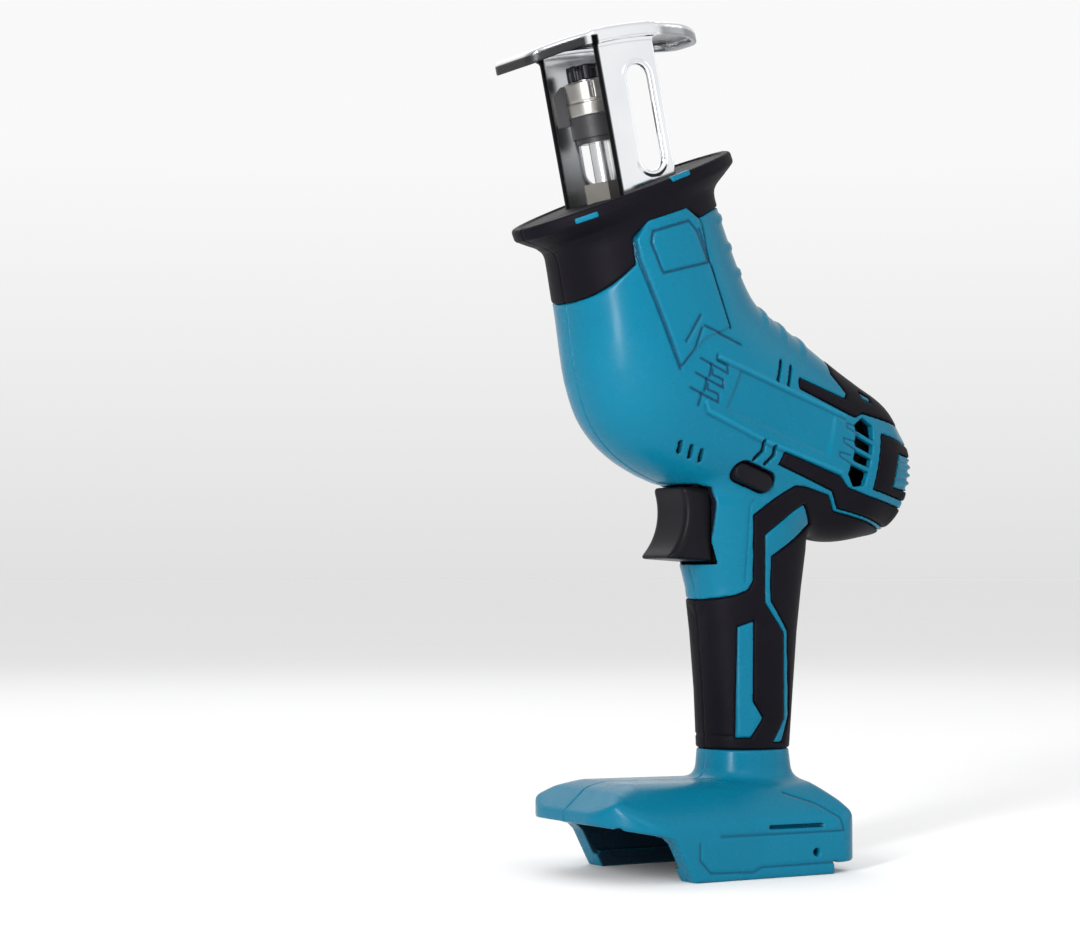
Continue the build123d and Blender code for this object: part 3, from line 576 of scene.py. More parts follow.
def sample(field, grid, points):
    """A sampled field's values at points, by linear interpolation."""
    at = (points - grid.low) / grid.step
    base = np.clip(np.floor(at).astype(int), 0, np.array(field.shape) - 2)
    part = at - base
    total = np.zeros(len(points))
    for i, j, k in CORNERS:
        weight = np.abs(1 - i - part[:, 0]) * np.abs(1 - j - part[:, 1]) * np.abs(1 - k - part[:, 2])
        total += weight * field[base[:, 0] + i, base[:, 1] + j, base[:, 2] + k]
    return total


def paint(piece, name, values):
    """A value for each point, which a material reads by name."""
    layer = piece.data.attributes.new(name, "FLOAT", "POINT")
    layer.data.foreach_set("value", np.asarray(values, np.float32))


# ---- materials ----
class Tree:
    """Short calls for building the node tree of a material or of the world."""

    def __init__(self, owner):
        owner.use_nodes = True
        self.tree = owner.node_tree

    def feed(self, socket, value):
        """Links or sets one input."""
        if isinstance(value, bpy.types.NodeSocket):
            self.tree.links.new(value, socket)
        else:
            socket.default_value = value

    def add(self, kind, inputs=None, **settings):
        node = self.tree.nodes.new(kind)
        for key, value in settings.items():
            setattr(node, key, value)
        for key, value in (inputs or {}).items():
            self.feed(node.inputs[key], value)
        return node

    def span(self, value, low, high, to_low=0.0, to_high=1.0):
        inputs = {"Value": value, "From Min": low, "From Max": high, "To Min": to_low, "To Max": to_high}
        return self.add("ShaderNodeMapRange", inputs).outputs["Result"]

    def mix(self, fac, a, b, kind="MIX"):
        """One colour blended with another; either may be three numbers."""
        node = self.add("ShaderNodeMix", data_type="RGBA", blend_type=kind)
        for key, value in {"Factor": fac, "A": a, "B": b}.items():
            if isinstance(value, tuple):
                value = (*value, 1.0)
            self.feed([s for s in node.inputs if s.name == key and s.enabled][0], value)
        return [s for s in node.outputs if s.enabled][0]


class Nodes(Tree):
    """The tree of one new material."""

    def __init__(self, name):
        self.material = bpy.data.materials.new(name)
        super().__init__(self.material)
        self.shader = self.tree.nodes["Principled BSDF"]
        self.place = self.add("ShaderNodeTexCoord").outputs["Object"]

    def noise(self, scale, detail=2.0, roughness=0.5, stretch=None):
        place = self.place
        if stretch:
            place = self.add("ShaderNodeMapping", {"Vector": place, "Scale": stretch}).outputs["Vector"]
        inputs = {"Vector": place, "Scale": scale, "Detail": detail, "Roughness": roughness}
        return self.add("ShaderNodeTexNoise", inputs).outputs["Fac"]

    def math(self, kind, a, b):
        return self.add("ShaderNodeMath", {0: a, 1: b}, operation=kind).outputs["Value"]

    def attribute(self, name):
        return self.add("ShaderNodeAttribute", attribute_name=name).outputs["Fac"]

    def set(self, name, value):
        self.feed(self.shader.inputs[name], value)

    def bump(self, height, strength, distance):
        inputs = {"Height": height, "Strength": strength, "Distance": distance * M}
        return self.add("ShaderNodeBump", inputs).outputs["Normal"]


def teal_plastic():
    n = Nodes("teal_abs")
    cloud = n.noise(18.0, 3.0)
    grain = n.noise(2600.0, 2.0, 0.6)
    base = n.mix(n.span(cloud, 0.35, 0.65), (0.0008, 0.119, 0.200), (0.0012, 0.134, 0.222))
    base = n.mix(n.span(grain, 0.3, 0.7, 0.0, 0.12), base, (0.004, 0.160, 0.265))
    # Painted shade darkens the moulded grooves, and a painted highlight lightens the raised lines; both are
    # read from the "sunk" depth.
    sunk = n.attribute("sunk")
    base = n.mix(n.span(sunk, -0.12, -0.6, 0.0, 0.8), base, (0.001, 0.030, 0.072))
    base = n.mix(n.span(sunk, 0.10, 0.45, 0.0, 0.6), base, (0.005, 0.19, 0.31))
    # Painted shade, near black, from the "dark" attribute: in the seams round the rubber, in the slits, vents
    # and button hole, on the trigger room's rear wall and in the battery bay.
    base = n.mix(n.attribute("dark"), base, (0.006, 0.008, 0.014))
    n.set("Base Color", base)
    scuff = n.span(n.noise(90.0, 4.0, 0.7), 0.45, 0.75)
    n.set("Roughness", n.span(scuff, 0.0, 1.0, 0.25, 0.35))
    n.set("Specular IOR Level", 0.13)
    n.set("Normal", n.bump(grain, 0.16, 0.05))
    return n.material


def black_rubber():
    n = Nodes("soft_black_rubber")
    cloud = n.noise(24.0, 3.0)
    grain = n.noise(2100.0, 3.0, 0.65)
    dust = n.span(n.noise(160.0, 5.0, 0.75), 0.56, 0.8, 0.0, 0.35)
    base = n.mix(n.span(cloud, 0.3, 0.7), (0.0036, 0.0031, 0.0054), (0.0060, 0.0053, 0.0084))
    base = n.mix(dust, base, (0.011, 0.0105, 0.0135))
    n.set("Base Color", base)
    n.set("Roughness", n.span(grain, 0.3, 0.7, 0.44, 0.60))
    n.set("Specular IOR Level", 0.05)
    n.set("Normal", n.bump(grain, 0.35, 0.06))
    return n.material


def metal(name, dark, light, rough, grain=(1.0, 1.0, 12.0), scratch=0.35):
    n = Nodes(name)
    cloud = n.noise(40.0, 3.0)
    brushed = n.noise(900.0, 3.0, 0.6, stretch=grain)
    n.set("Base Color", n.mix(n.span(cloud, 0.3, 0.7), dark, light))
    n.set("Metallic", 1.0)
    smear = n.noise(150.0, 4.0, 0.7)
    n.set("Roughness", n.span(smear, 0.3, 0.75, rough[0], rough[1]))
    n.set("Normal", n.bump(brushed, scratch, 0.012))
    return n.material


def pressed_chrome():
    n = Nodes("bright_pressed_steel")
    cloud = n.noise(30.0, 3.0)
    brushed = n.noise(700.0, 3.0, 0.6, stretch=(1.0, 1.0, 14.0))
    base = n.mix(n.span(cloud, 0.3, 0.7), (0.74, 0.76, 0.80), (0.86, 0.87, 0.88))
    # Painted shade and painted dark reflections from the "cut" attribute turn the steel near black; the same
    # mask also roughens it.
    base = n.mix(n.attribute("cut"), base, (0.004, 0.004, 0.005))
    n.set("Base Color", base)
    n.set("Metallic", 1.0)
    smear = n.span(n.noise(110.0, 5.0, 0.7), 0.3, 0.75, 0.07, 0.17)
    n.set("Roughness", n.math("MAXIMUM", smear, n.math("MULTIPLY", n.attribute("cut"), 0.45)))
    n.set("Normal", n.bump(brushed, 0.15, 0.012))
    return n.material


def plastic(name, dark, light, rough, grain_scale=1800.0, strength=0.2, gloss=0.4):
    n = Nodes(name)
    cloud = n.noise(35.0, 3.0)
    grain = n.noise(grain_scale, 2.0, 0.6)
    n.set("Base Color", n.mix(n.span(cloud, 0.3, 0.7), dark, light))
    n.set("Roughness", n.span(grain, 0.3, 0.7, rough[0], rough[1]))
    n.set("Specular IOR Level", gloss)
    n.set("Normal", n.bump(grain, strength, 0.05))
    return n.material


def wound_copper():
    n = Nodes("enamelled_copper")
    wave = {"Vector": n.place, "Scale": 380.0, "Distortion": 1.5}
    turns = n.add("ShaderNodeTexWave", wave, bands_direction="Z")
    strand = turns.outputs["Fac"]
    n.set("Base Color", n.mix(strand, (0.16, 0.045, 0.012), (0.62, 0.24, 0.09)))
    n.set("Metallic", 0.85)
    n.set("Roughness", n.span(strand, 0.0, 1.0, 0.45, 0.28))
    n.set("Normal", n.bump(strand, 0.7, 0.2))
    return n.material


def pressed_felt():
    n = Nodes("pressed_felt")
    fibre = n.noise(1600.0, 6.0, 0.8)
    n.set("Base Color", n.mix(fibre, (0.10, 0.09, 0.07), (0.34, 0.31, 0.26)))
    n.set("Roughness", 0.95)
    n.set("Sheen Weight", 0.4)
    n.set("Normal", n.bump(fibre, 0.9, 0.2))
    return n.material


MATERIALS = {
    "housing_plastic": teal_plastic(),
    "black_rubber": black_rubber(),
    "shoe_chrome": pressed_chrome(),
    "trigger_plastic": plastic("trigger_nylon", (0.0045, 0.0042, 0.0062), (0.0075, 0.0070, 0.0098),
                               (0.30, 0.44), gloss=0.08),
    "dark_steel": metal("black_oxide_steel", (0.018, 0.018, 0.021), (0.036, 0.035, 0.040), (0.30, 0.48)),
    "bronze": metal("oil_bronze", (0.42, 0.26, 0.12), (0.58, 0.38, 0.19), (0.30, 0.45)),
    "felt": pressed_felt(),
    "sintered_steel": metal("sintered_grey_steel", (0.12, 0.115, 0.105), (0.20, 0.19, 0.175), (0.38, 0.58),
                            (1, 1, 1), 0.8),
    "bearing_steel": metal("ground_bearing_steel", (0.55, 0.56, 0.58), (0.68, 0.69, 0.70), (0.14, 0.26)),
    "cast_alloy": metal("cast_zinc_alloy", (0.40, 0.41, 0.42), (0.52, 0.53, 0.54), (0.42, 0.6),
                        (1, 1, 1), 0.9),
    "plated_steel": metal("zinc_plated_steel", (0.55, 0.56, 0.58), (0.72, 0.73, 0.74), (0.22, 0.36)),
    "ferrite": plastic("ferrite_magnet", (0.035, 0.034, 0.034), (0.06, 0.058, 0.056), (0.55, 0.7),
                       2400.0, 0.5),
    "black_plastic": plastic("black_nylon", (0.012, 0.012, 0.014), (0.022, 0.022, 0.025), (0.42, 0.56)),
    "carbon": plastic("brush_carbon", (0.02, 0.02, 0.021), (0.05, 0.05, 0.052), (0.5, 0.65), 3000.0, 0.5),
    "hard_steel": metal("hardened_steel", (0.30, 0.30, 0.31), (0.44, 0.44, 0.45), (0.22, 0.36)),
    "plunger_steel": metal("ground_plunger_steel", (0.52, 0.52, 0.54), (0.70, 0.70, 0.71), (0.14, 0.26),
                           (1, 1, 0.15), 0.3),
    "collar_steel": metal("satin_collar_steel", (0.24, 0.235, 0.22), (0.37, 0.36, 0.34), (0.28, 0.42),
                          (1, 1, 9), 0.6),
    "lamination": metal("lamination_stack", (0.30, 0.31, 0.33), (0.44, 0.45, 0.47), (0.35, 0.5),
                        (1, 1, 30), 0.9),
    "copper": wound_copper(),
}
for subpart in frame["record"]["subparts"]:
    node = frame["nodes"][subpart["node"]]
    node.data.materials.clear()
    node.data.materials.append(MATERIALS[subpart["material_slot"]])

# ---- housing ----
# Places of the right half's screws in the side view, and the wells over them.
SCREWS = [(17.0, 82.0), (17.0, 50.0), (72.0, 146.0), (-38.0, 160.0), (-8.0, 226.0)]
WELL_R = 3.4
WELL_DEPTH = 4.8


def cut_wells(field, g, form):
    for x, z in SCREWS:
        well = np.minimum(WELL_R - np.hypot(g.x - x, g.z - z), WELL_DEPTH - form)
        field = smooth_min(field, -well, 0.3)
    return field


def half_grid(x_low, x_high, z_low, z_high, step):
    """A grid over the saw's left half and a little past its middle plane."""
    return Grid((x_low, -40.0, z_low), (x_high, 1.5, z_high), step)


def both_halves(field, g, form, kept):
    """The left half's label and mesh, then the right's: with the screws' wells, and mirrored."""
    for label in ("left", "right"):
        if label == "right":
            field = cut_wells(field, g, form)
        points, quads = surface_net(field, g)
        points, quads = trim(points, quads, kept(points, sample(form, g, points)))
        if label == "right":
            points, quads = points * np.array([1, -1, 1]), quads[:, ::-1]
        yield label, points, quads


def side_attributes(piece, points):
    """Paints the moulded lines' depth as "sunk", which the teal material turns into painted shade in the
    grooves and a painted highlight on the raised lines, and paints "dark", a painted shade near black round
    the rubber beds, in the openings, in the trigger's room and in the battery bay.
    """
    x, y, z = points.T
    side = sidewards(y)
    # Painted shade in the seams round the rubber beds.
    painted_shade = [smooth_step((area + 0.42) / 0.2) for area in rubber_maps(x, z).values()]
    # Painted shade in the slits, the vents and the button's hole.
    painted_shade += [smooth_step((SLIT_R + 0.1 - line_distance(x, z, slit)) / 0.25) * side for slit in SLITS]
    painted_shade.append(smooth_step((vent_map(x, z) + 0.05) / 0.3) * side)
    painted_shade.append(smooth_step((button_map(x, z) + 0.35) / 0.3) * side)
    # Painted shade on the trigger room's rear wall.
    room = np.maximum(room_map(x, y, z), box_field(x, y, z, TRIGGER_DEPTH))
    painted_shade.append(smooth_step((room + 0.3) / 0.25) * (x > -9.0))
    # Painted shade in the battery bay and the terminal block's seat.
    painted_shade += [0.93 * smooth_step((box_field(x, y, z, limits) + 0.35) / 0.3) for limits in BAY]
    paint(piece, "sunk", moulded_lines(x, z) * side)
    paint(piece, "dark", np.maximum.reduce(painted_shade))


def outside_or_foot(points, depth):
    """Which points of a shell stay: its parting face goes, except in the foot."""
    return ~((points[:, 1] > -0.12) & (depth > 1.0) & (points[:, 2] > 34.0))


def build_housing():
    g = half_grid(-68.0, 90.0, -1.5, 256.0, HOUSING_STEP)
    form = housing_form(g)
    field = smooth_min(teal_field(g, form), -g.y, 0.15)
    for label, points, quads in both_halves(field, g, form, outside_or_foot):
        shell = make_piece("housing_shell_" + label, points, quads, "saw_body", "housing_plastic")
        side_attributes(shell, points)
        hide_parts("housing_" + label)


# The side-view box that each overmould lies in: low and high X, low and high Z.
RUBBER_BOXES = {
    "grip": (-16.0, 82.0, 40.0, 146.0),
    "motor_strip": (18.0, 90.0, 150.0, 196.0),
    "tail_bumper": (12.0, 90.0, 116.0, 172.0),
}
RUBBER_STANDS = 0.25  # how far the rubber stands out of the housing's form
RUBBER_DEEP = 1.5  # deeper than this its mesh is left off


def build_rubber():
    for prefix, box in RUBBER_BOXES.items():
        g = half_grid(*box, RUBBER_STEP)
        form = housing_form(g)
        area = rubber_maps(g.x, g.z)[prefix]
        lines = sum(groove(g.x, g.z, line, 0.8, 0.45) for line in GRIP_LINES)
        field = smooth_min(form + RUBBER_STANDS + lines, area, 0.9)
        field = smooth_min(field, -g.y, 0.15)
        for label, points, quads in both_halves(field, g, form, lambda points, depth: depth < RUBBER_DEEP):
            piece = make_piece(prefix + "_rubber_" + label, points, quads, "saw_body", "black_rubber")
            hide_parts(prefix + "_" + label)


# ---- nose ----
CRANK_AT = (-29.9, 191.6)  # the plunger's frame starts at the crank's centre
TILT = math.radians(12.0)
FLANGE_AT = (-33.9, 239.05)
FLANGE_LEAN = math.radians(22.4)
FLANGE_SHIFT = 1.6
# The flare under the flange: height, half length, half width.
FLARE = np.array([(-6.5, 32.0, 27.2), (-3.5, 33.0, 27.8), (-1.0, 34.8, 28.7), (1.5, 37.6, 29.9),
                  (3.6, 41.2, 31.4), (5.2, 43.8, 32.4), (7.0, 44.8, 32.7)])
RIM_LOW, RIM_HIGH = 5.9, 10.9
RIM_A, RIM_B = 46.0, 33.0
FLARE_W = (-6.5, RIM_LOW + 1.0)
DISH_MARGIN, DISH_DEPTH = 3.0, 0.7
GUARD_R = (-7.2, 17.4)  # the guard's front and rear edges, across the plunger's axis
GUARD_HALF = 20.0
GUARD_FOOT = 50.0  # where the guard starts, along the plunger's axis


def turned(x, z, at, angle):
    """A side-view place as a frame sees it that leans by an angle round its own origin."""
    u, w = x - at[0], z - at[1]
    return u * math.cos(angle) + w * math.sin(angle), w * math.cos(angle) - u * math.sin(angle)


def placed(points, at, angle):
    """Points of such a leaning frame, brought back into the saw's."""
    u, y, w = points.T
    x = at[0] + u * math.cos(angle) - w * math.sin(angle)
    z = at[1] + u * math.sin(angle) + w * math.cos(angle)
    return np.stack([x, y, z], 1)


def build_boot():
    """The nose boot: its skin on the barrel, the flare, the dished rim and the guard's pocket."""
    g = Grid((-84.0, -36.0, 196.0), (14.0, 36.0, 272.0), RUBBER_STEP)
    u, w = turned(g.x, g.z, FLANGE_AT, FLANGE_LEAN)
    long, wide = (np.interp(w, FLARE[:, 0], FLARE[:, k]).astype(np.float32) for k in (1, 2))
    shift = FLANGE_SHIFT * np.clip(w / RIM_LOW, 0, 1)
    flare = superellipse(u - shift, long, g.y, wide, 2.0)
    flare = np.minimum(flare, between(w, *FLARE_W))
    rim = superellipse(u - FLANGE_SHIFT, RIM_A, g.y, RIM_B, 2.0)
    rim = smooth_min(rim, between(w, RIM_LOW, RIM_HIGH), 1.6)
    form = housing_form(g)
    skin = smooth_min(form + 0.3, area_distance(g.x, g.z, BOOT_AREA), 0.9)
    skin = np.minimum(skin, 0.8 - w)
    field = smooth_max(smooth_max(flare, rim, 1.2), skin, 2.4)
    dish = superellipse(u - FLANGE_SHIFT, RIM_A - DISH_MARGIN, g.y, RIM_B - DISH_MARGIN, 2.0)
    field = np.minimum(field, RIM_HIGH - DISH_DEPTH * smooth_step(dish / 0.8) - w)
    field = field - 0.35 * smooth_step(1 - np.abs(g.y) / 0.6)  # the moulding's seam
    r, s = turned(g.x, g.z, CRANK_AT, TILT)
    pocket = np.minimum(r - GUARD_R[0] + 0.1, GUARD_R[1] + 0.1 - r)
    pocket = np.minimum(pocket, GUARD_HALF + 0.1 - np.abs(g.y))
    field = np.minimum(field, -np.minimum(pocket, s - GUARD_FOOT))
    points, quads = surface_net(field, g)
    deep = sample(form, g, points) > 1.6
    w_at = turned(points[:, 0], points[:, 2], FLANGE_AT, FLANGE_LEAN)[1]
    points, quads = trim(points, quads, ~(deep & (w_at < -1.0)))
    boot = make_piece("nose_boot_rubber", points, quads, "saw_body", "black_rubber")
    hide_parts("nose_boot")


# Each clip's angle round the rim, and how far it lies under the rim's top.
CLIPS = [(-135.0, 3.0), (-84.0, 0.7), (84.0, 0.7), (135.0, 3.0), (0.0, 1.1)]
CLIP_SIZE = (4.4, 1.3, 1.0)  # half length, half depth, half height
CLIP_SINK = 0.8


def build_clips():
    """Teal inserts in the flange's rim."""
    for number, (angle, under) in enumerate(CLIPS):
        a = math.radians(angle)
        middle_u = FLANGE_SHIFT + (RIM_A - CLIP_SINK) * math.cos(a)
        middle_y = (RIM_B - CLIP_SINK) * math.sin(a)
        turn = math.atan2(RIM_B * math.cos(a), -RIM_A * math.sin(a))
        g = Grid((-5.5, -2.4, -2.1), (5.5, 2.4, 2.1), 0.3)
        ends = smooth_min(CLIP_SIZE[0] - np.abs(g.x), CLIP_SIZE[1] - np.abs(g.y), 1.0)
        points, quads = surface_net(smooth_min(ends, CLIP_SIZE[2] - np.abs(g.z), 0.5), g)
        u = middle_u + points[:, 0] * math.cos(turn) - points[:, 1] * math.sin(turn)
        y = middle_y + points[:, 0] * math.sin(turn) + points[:, 1] * math.cos(turn)
        w = RIM_HIGH - under + points[:, 2]
        points = placed(np.stack([u, y, w], 1), FLANGE_AT, FLANGE_LEAN)
        clip = make_piece(f"rim_clip_{number + 1}", points, quads, "saw_body", "housing_plastic")
        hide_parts("boot_clips")


# The shoe, in the plunger's frame: r across its axis, s along it.
SHOE_MID, SHOE_TOP = 7.2, 115.6
SHOE_HALF, SHOE_SAG = 38.2, 4.6
SHOE_PLAN = [(-38.2, 13.5), (-30, 18.5), (-16, 21.5), (18, 21.5), (30, 17.0), (38.2, 8.0)]
SHEET = 2.0
PLATE_DEEP = 4.6  # how far the plate's edge turns down
BLADE_WAY_END, BLADE_WAY_HALF = 30.0, 7.0  # rear end and half width of the plate's opening
WINDOW_R, WINDOW_HALF = 8.2, 4.7
WINDOW_S = (62.5, 101.0)
NUT_R, NUT_TOP = 11.7, 58.0  # the space round the gland nut


def plan_field(r, y):
    """Distance in from the shoe plate's outline, with its corners rounded."""
    points = SHOE_PLAN + [(px, -py) for px, py in reversed(SHOE_PLAN)]
    field = None
    for (ax, ay), (bx, by) in zip(points, points[1:] + points[:1]):
        length = math.hypot(bx - ax, by - ay)
        side = -((bx - ax) * (y - ay) - (by - ay) * (r - ax)) / length
        field = side if field is None else smooth_min(field, side, 3.5)
    return field


def shoe_shade(points):
    """Painted shade and painted dark reflections on the steel: near black on the guard's cut front edges and
    the plate's lip, darker under the plate, and on the guard's inside, more so towards the nose boot.
    """
    r, y, s = points.T
    from_middle = r - SHOE_MID
    depth = SHOE_TOP - from_middle**2 * (SHOE_SAG / SHOE_HALF**2) - s
    # Painted shade on the guard's cut front edges.
    cut = smooth_step((GUARD_R[0] + 1.2 - r) / 0.4) * (np.abs(r - GUARD_R[0]) < 1.5) * (s < 113.2)
    # Painted dark reflection on the plate's turned-down lip.
    lip = smooth_step((1.3 - plan_field(from_middle, y)) / 0.5) * smooth_step((-17.0 - from_middle) / 2.0)
    lip = 0.95 * lip * smooth_step((depth - 1.0) / 0.6)
    # Painted dark reflection under the plate.
    under = smooth_step((-22.0 - from_middle) / 2.0) + smooth_step((r - GUARD_R[1] - 2.0) / 3.0)
    under = 0.6 * np.clip(under, 0, 1) * smooth_step((depth - 1.6) / 0.4)
    # Painted shade inside the guard.
    inner = (np.abs(y) < GUARD_HALF - SHEET / 2) * smooth_step((s - GUARD_FOOT - SHEET) / 2.0)
    inner = inner * (depth > PLATE_DEEP) * smooth_step((WINDOW_R + 3.0 - r) / 9.0)
    inner = inner * (0.35 + 0.45 * smooth_step((92.0 - s) / 34.0))
    return np.maximum.reduce([cut, lip, under, inner])


def build_shoe():
    """The shoe: an arched plate with a turned-down edge, on a channel guard with long windows."""
    g = Grid((-34.0, -24.5, 48.5), (48.0, 24.5, 117.5), METAL_STEP)
    r, y, s = g.x, g.y, g.z
    radius = (SHOE_HALF**2 + SHOE_SAG**2) / (2 * SHOE_SAG)
    rise = np.hypot(r - SHOE_MID, s - SHOE_TOP + radius)
    plan = plan_field(r - SHOE_MID, y)
    top = radius - rise
    plate = smooth_min(smooth_min(plan, top, 1.6), PLATE_DEEP - top, 0.5)
    pocket = np.minimum(plan - SHEET, top - SHEET)
    plate = smooth_min(plate, -pocket, 0.8)
    hole = np.minimum(r - GUARD_R[0] - 3.0, BLADE_WAY_END - r)
    hole = smooth_min(hole, BLADE_WAY_HALF - np.abs(y), 3.0)
    outer = smooth_min(smooth_min(GUARD_HALF - np.abs(y), s - GUARD_FOOT, 3.0),
                       between(r, *GUARD_R), 0.3)
    inner = smooth_min(GUARD_HALF - SHEET - np.abs(y), s - GUARD_FOOT - SHEET, 1.5)
    guard = np.minimum(np.minimum(outer, -inner), top - 0.6)
    long = (WINDOW_S[1] - WINDOW_S[0]) / 2 - WINDOW_HALF
    middle = (WINDOW_S[0] + WINDOW_S[1]) / 2
    window = WINDOW_HALF - np.hypot(r - WINDOW_R, np.maximum(np.abs(s - middle) - long, 0))
    embossed = 0.35 * smooth_step(1 - np.abs(window + 1.2) / 1.1)
    guard = smooth_min(guard + embossed, -window, 0.6)
    field = smooth_max(plate, guard, 2.2)
    field = smooth_min(field, -hole, 0.6)
    field = np.minimum(field, np.hypot(r, y) - np.where(s < NUT_TOP, NUT_R, 0.0))
    points, quads = surface_net(field, g)
    shoe = make_piece("shoe_pressing", placed(points, CRANK_AT, TILT), quads, "saw_body", "shoe_chrome")
    # The "cut" attribute holds painted shade and painted dark reflections, not only the cut edges.
    paint(shoe, "cut", shoe_shade(points))
    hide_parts("shoe")


COLLAR_S = (86.4, 99.0)  # the collar's ends, along the plunger's axis
COLLAR_R, COLLAR_BORE = 9.5, 6.7
RING_S = 91.6  # a groove round the collar, with the slot above it
SLOT_S, SLOT_HALF, SLOT_TURN = 92.8, 0.55, 2.06
CAP_S = (99.3, 105.0)
CAP_R, CAP_LOBES = 7.1, 8
LOBE_RISE, NOTCH_DEPTH, NOTCH_R = 0.35, 1.5, 4.6
BLADE_HALF_WIDTH, BLADE_HALF_THICK = 5.7, 0.9


def build_collar():
    """The blade clamp's turned collar, with its ring groove and slot."""
    g = Grid((-10.5, -10.5, 85.5), (10.5, 10.5, 100.0), 0.35)
    radius = np.hypot(g.x, g.y)
    angle = np.arctan2(g.y, g.x) + SLOT_TURN
    ring = smooth_step(1 - np.abs(g.z - RING_S) / 0.55)
    outer = COLLAR_R - radius - 0.35 * ring + 0.12 * (g.z < RING_S)
    slot = np.minimum(SLOT_HALF - np.abs(np.sin(angle)) * radius, g.z - SLOT_S)
    slot = np.where(np.cos(angle) > 0, slot, -1.0)
    outer = smooth_min(outer, -slot, 0.3)
    field = np.minimum(smooth_min(outer, between(g.z, *COLLAR_S), 0.7), radius - COLLAR_BORE)
    points, quads = surface_net(field, g)
    points = placed(points, CRANK_AT, TILT)
    collar = make_piece("clamp_collar_turned", points, quads, "clamp_sleeve", "collar_steel")
    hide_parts("clamp_collar")


def build_cap():
    """The blade clamp's black jagged cap, with the blade's slot through it."""
    g = Grid((-9.2, -9.2, 98.6), (9.2, 9.2, 106.0), 0.3)
    radius = np.hypot(g.x, g.y)
    teeth = np.sin(np.arctan2(g.y, g.x) * CAP_LOBES)
    outer = CAP_R + LOBE_RISE * np.clip(teeth * 2, -1, 1) - radius
    notch = smooth_step(0.5 - teeth * 1.5) * (radius > NOTCH_R)
    top = CAP_S[1] - NOTCH_DEPTH * notch - g.z
    blade = np.minimum(BLADE_HALF_WIDTH - np.abs(g.x), BLADE_HALF_THICK - np.abs(g.y))
    field = smooth_min(outer, np.minimum(top, g.z - CAP_S[0]), 0.5)
    field = smooth_min(field, -blade, 0.3)
    points, quads = surface_net(field, g)
    points = placed(points, CRANK_AT, TILT)
    cap = make_piece("clamp_cap_jagged", points, quads, "blade_plunger", "dark_steel")
    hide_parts("clamp_cap")


# ---- controls ----
TRIGGER_SIDE = [(-17.0, 141.0), (-3.3, 141.0), (-3.3, 113.4), (-23.2, 114.6)]
TRIGGER_HALF, TRIGGER_ROUND = 11.2, 3.2
FINGER_AT, FINGER_R = (-37.0, 131.9), 22.0


def build_trigger():
    """The trigger, with its finger hollow and rounded flanks."""
    g = Grid((-27.0, -12.5, 111.5), (-1.5, 12.5, 143.0), METAL_STEP)
    side = area_distance(g.x, g.z, TRIGGER_SIDE)
    finger = np.hypot(g.x - FINGER_AT[0], g.z - FINGER_AT[1]) - FINGER_R
    side = smooth_min(side, finger, 2.0)
    field = smooth_min(side, TRIGGER_HALF - np.abs(g.y), TRIGGER_ROUND)
    points, quads = surface_net(field, g)
    piece = make_piece("trigger_cap", points, quads, "trigger", "trigger_plastic")
    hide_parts("trigger")


SPRING_X = (-2.4, 6.2)
COIL_R, WIRE_R, COIL_PITCH = 3.4, 0.35, 1.9
WIRE_SIDES = 8
COIL_POINTS = 180


def build_spring():
    """The trigger's coil spring, built at one fixed length."""
    turns = (SPRING_X[1] - SPRING_X[0]) / COIL_PITCH
    t = np.linspace(0, 1, COIL_POINTS)
    angle = 2 * math.pi * turns * t
    out = np.stack([0 * t, np.cos(angle), np.sin(angle)], 1)
    middle = COIL_R * out
    middle[:, 0] = SPRING_X[0] + (SPRING_X[1] - SPRING_X[0]) * t
    along = np.gradient(middle, axis=0)
    along /= np.linalg.norm(along, axis=1)[:, None]
    across = np.cross(along, out)
    rings = []
    for k in range(WIRE_SIDES):
        a = 2 * math.pi * k / WIRE_SIDES
        rings.append(middle + WIRE_R * (out * math.cos(a) + across * math.sin(a)))
    points = np.stack(rings, 1).reshape(-1, 3) + np.array([0, 0, SPRING_BORE[0]])
    start = np.arange(len(t) - 1)[:, None] * WIRE_SIDES
    side = np.arange(WIRE_SIDES)[None]
    after = (side + 1) % WIRE_SIDES
    quads = np.stack([start + side, start + after, start + WIRE_SIDES + after, start + WIRE_SIDES + side], 2)
    # Each end of the wire is an octagon in three quads.
    cap = np.array([[0, 3, 2, 1], [0, 7, 4, 3], [7, 6, 5, 4]])
    last = cap[:, ::-1] + (len(t) - 1) * WIRE_SIDES
    quads = np.concatenate([quads.reshape(-1, 4), cap, last])
    spring = make_piece("trigger_spring_coil", points, quads, "saw_body", "bearing_steel")
    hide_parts("trigger_spring")
    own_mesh(spring)


def build_button():
    """The lock button: a capsule in the side view, as wide as its CAD node."""
    low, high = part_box("lock_button")
    g = Grid((-4.0, low[1] / M - 1.5, 136.5), (16.5, high[1] / M + 1.5, 152.0), METAL_STEP)
    capsule = BUTTON_R - line_distance(g.x, g.z, BUTTON)
    ends = between(g.y, low[1] / M, high[1] / M)
    points, quads = surface_net(smooth_min(capsule, ends, 1.6), g)
    piece = make_piece("lock_button_cap", points, quads, "lock_button", "trigger_plastic")
    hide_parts("lock_button")


build_housing()
build_rubber()
build_boot()
build_clips()
build_shoe()
build_collar()
build_cap()
build_trigger()
build_spring()
build_button()


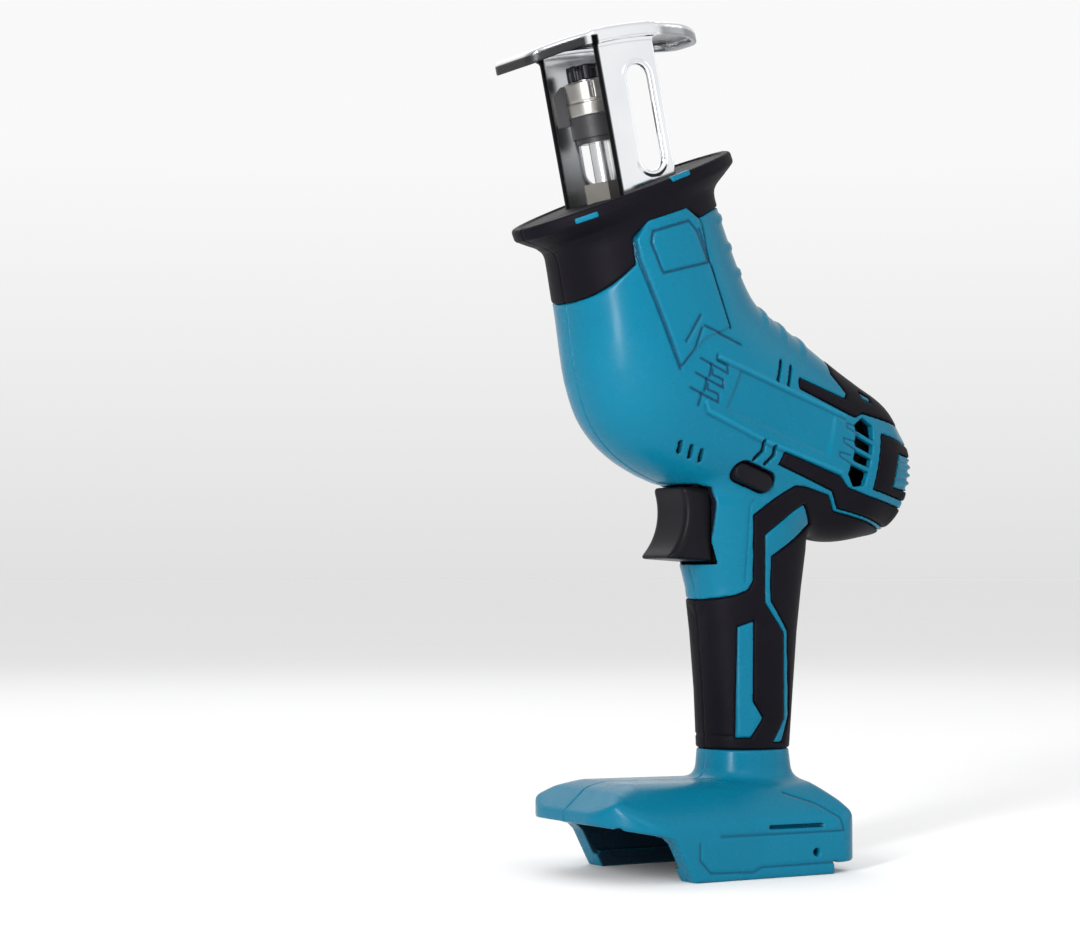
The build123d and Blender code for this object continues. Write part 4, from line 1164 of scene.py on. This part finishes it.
# ---- studio ----
def build_floor():
    """A wide pale floor at the height that the saw stands on."""
    mesh = bpy.data.meshes.new("floor")
    half = 60.0
    corners = [(-half, -half, 0), (half, -half, 0), (half, half, 0), (-half, half, 0)]
    mesh.from_pydata(corners, [], [(0, 1, 2, 3)])
    floor = add_object("floor", mesh)
    n = Nodes("pale_floor")
    n.set("Base Color", n.mix(n.noise(3.0), (0.90, 0.90, 0.90), (0.92, 0.92, 0.92)))
    n.set("Roughness", 0.8)
    n.set("Specular IOR Level", 0.1)
    mesh.materials.append(n.material)


def soft_light(name, position, target, width, height, watts):
    data = bpy.data.lights.new(name, "AREA")
    data.shape = "RECTANGLE"
    data.size = width
    data.size_y = height
    data.energy = watts
    light = add_object(name, data)
    light.location = position
    light.rotation_euler = (Vector(target) - Vector(position)).to_track_quat("-Z", "Y").to_euler()


# Brightness by a direction's height, side, or closeness to the dark lens side, as (value, level).
BACKDROP = [(0.0, 0.752), (0.16, 0.95)]
OVERHEAD = [(0.0, 1.05), (0.35, 1.05), (0.8, 0.85)]
SIDES = [(-0.97, 0.30), (-0.75, 0.6), (-0.45, 1.0), (0.5, 1.0), (0.95, 0.7)]
LENS_SIDE = [(0.87, 1.0), (0.95, 0.10)]
LENS_WAY = (-0.53, -0.83, 0.05)


def build_world():
    """A pale backdrop, with a softly graded studio round it for the object's shading and gloss."""
    world = bpy.data.worlds.new("studio")
    bpy.context.scene.world = world
    t = Tree(world)

    def ramp(value, stops):
        node = t.add("ShaderNodeValToRGB", {0: t.span(value, -1.0, 1.0)})
        elements = node.color_ramp.elements
        while len(elements) < len(stops):
            elements.new(0.5)
        for element, (position, level) in zip(elements, stops):
            element.position = (position + 1) / 2
            element.color = (level, level, level, 1)
        return node.outputs["Color"]

    way = t.add("ShaderNodeTexCoord").outputs["Generated"]
    split = t.add("ShaderNodeSeparateXYZ", {0: way})
    lens = t.add("ShaderNodeVectorMath", {0: way, 1: LENS_WAY}, operation="DOT_PRODUCT")
    graded = t.mix(1.0, ramp(split.outputs["Z"], OVERHEAD), ramp(split.outputs["X"], SIDES), "MULTIPLY")
    graded = t.mix(1.0, graded, ramp(lens.outputs["Value"], LENS_SIDE), "MULTIPLY")
    rays = t.add("ShaderNodeLightPath")
    shown = t.mix(rays.outputs["Is Camera Ray"], graded, ramp(split.outputs["Z"], BACKDROP))
    t.feed(t.tree.nodes["Background"].inputs["Color"], shown)


def build_camera():
    """The photo's camera, as solved from its vanishing points."""
    data = bpy.data.cameras.new("camera")
    data.lens = 86.4
    data.sensor_width = 36.0
    data.clip_start = 0.01
    camera = add_object("camera", data)
    yaw, pitch = math.radians(30.2), math.radians(2.39)
    ahead = Vector((math.sin(yaw) * math.cos(pitch), math.cos(yaw) * math.cos(pitch), math.sin(pitch)))
    camera.location = (-0.537716, -0.802094, 0.108746)
    camera.rotation_euler = ahead.to_track_quat("-Z", "Y").to_euler()
    bpy.context.scene.camera = camera


build_floor()
build_world()
build_camera()
# Each light's name, place, target, width, height and power, in metres and watts.
soft_light("strip_left", (-1.15, -0.75, 0.35), (-0.02, 0, 0.17), 0.14, 1.1, 24)
soft_light("key_front", (-0.35, -1.5, 1.1), (0, 0, 0.14), 1.1, 0.8, 5)
soft_light("fill_right", (1.5, -0.7, 0.7), (0, 0, 0.14), 0.8, 1.2, 2)
soft_light("back_top", (0.3, 1.3, 1.3), (0, 0, 0.15), 1.4, 0.8, 5)
bpy.context.scene.view_settings.view_transform = "Standard"
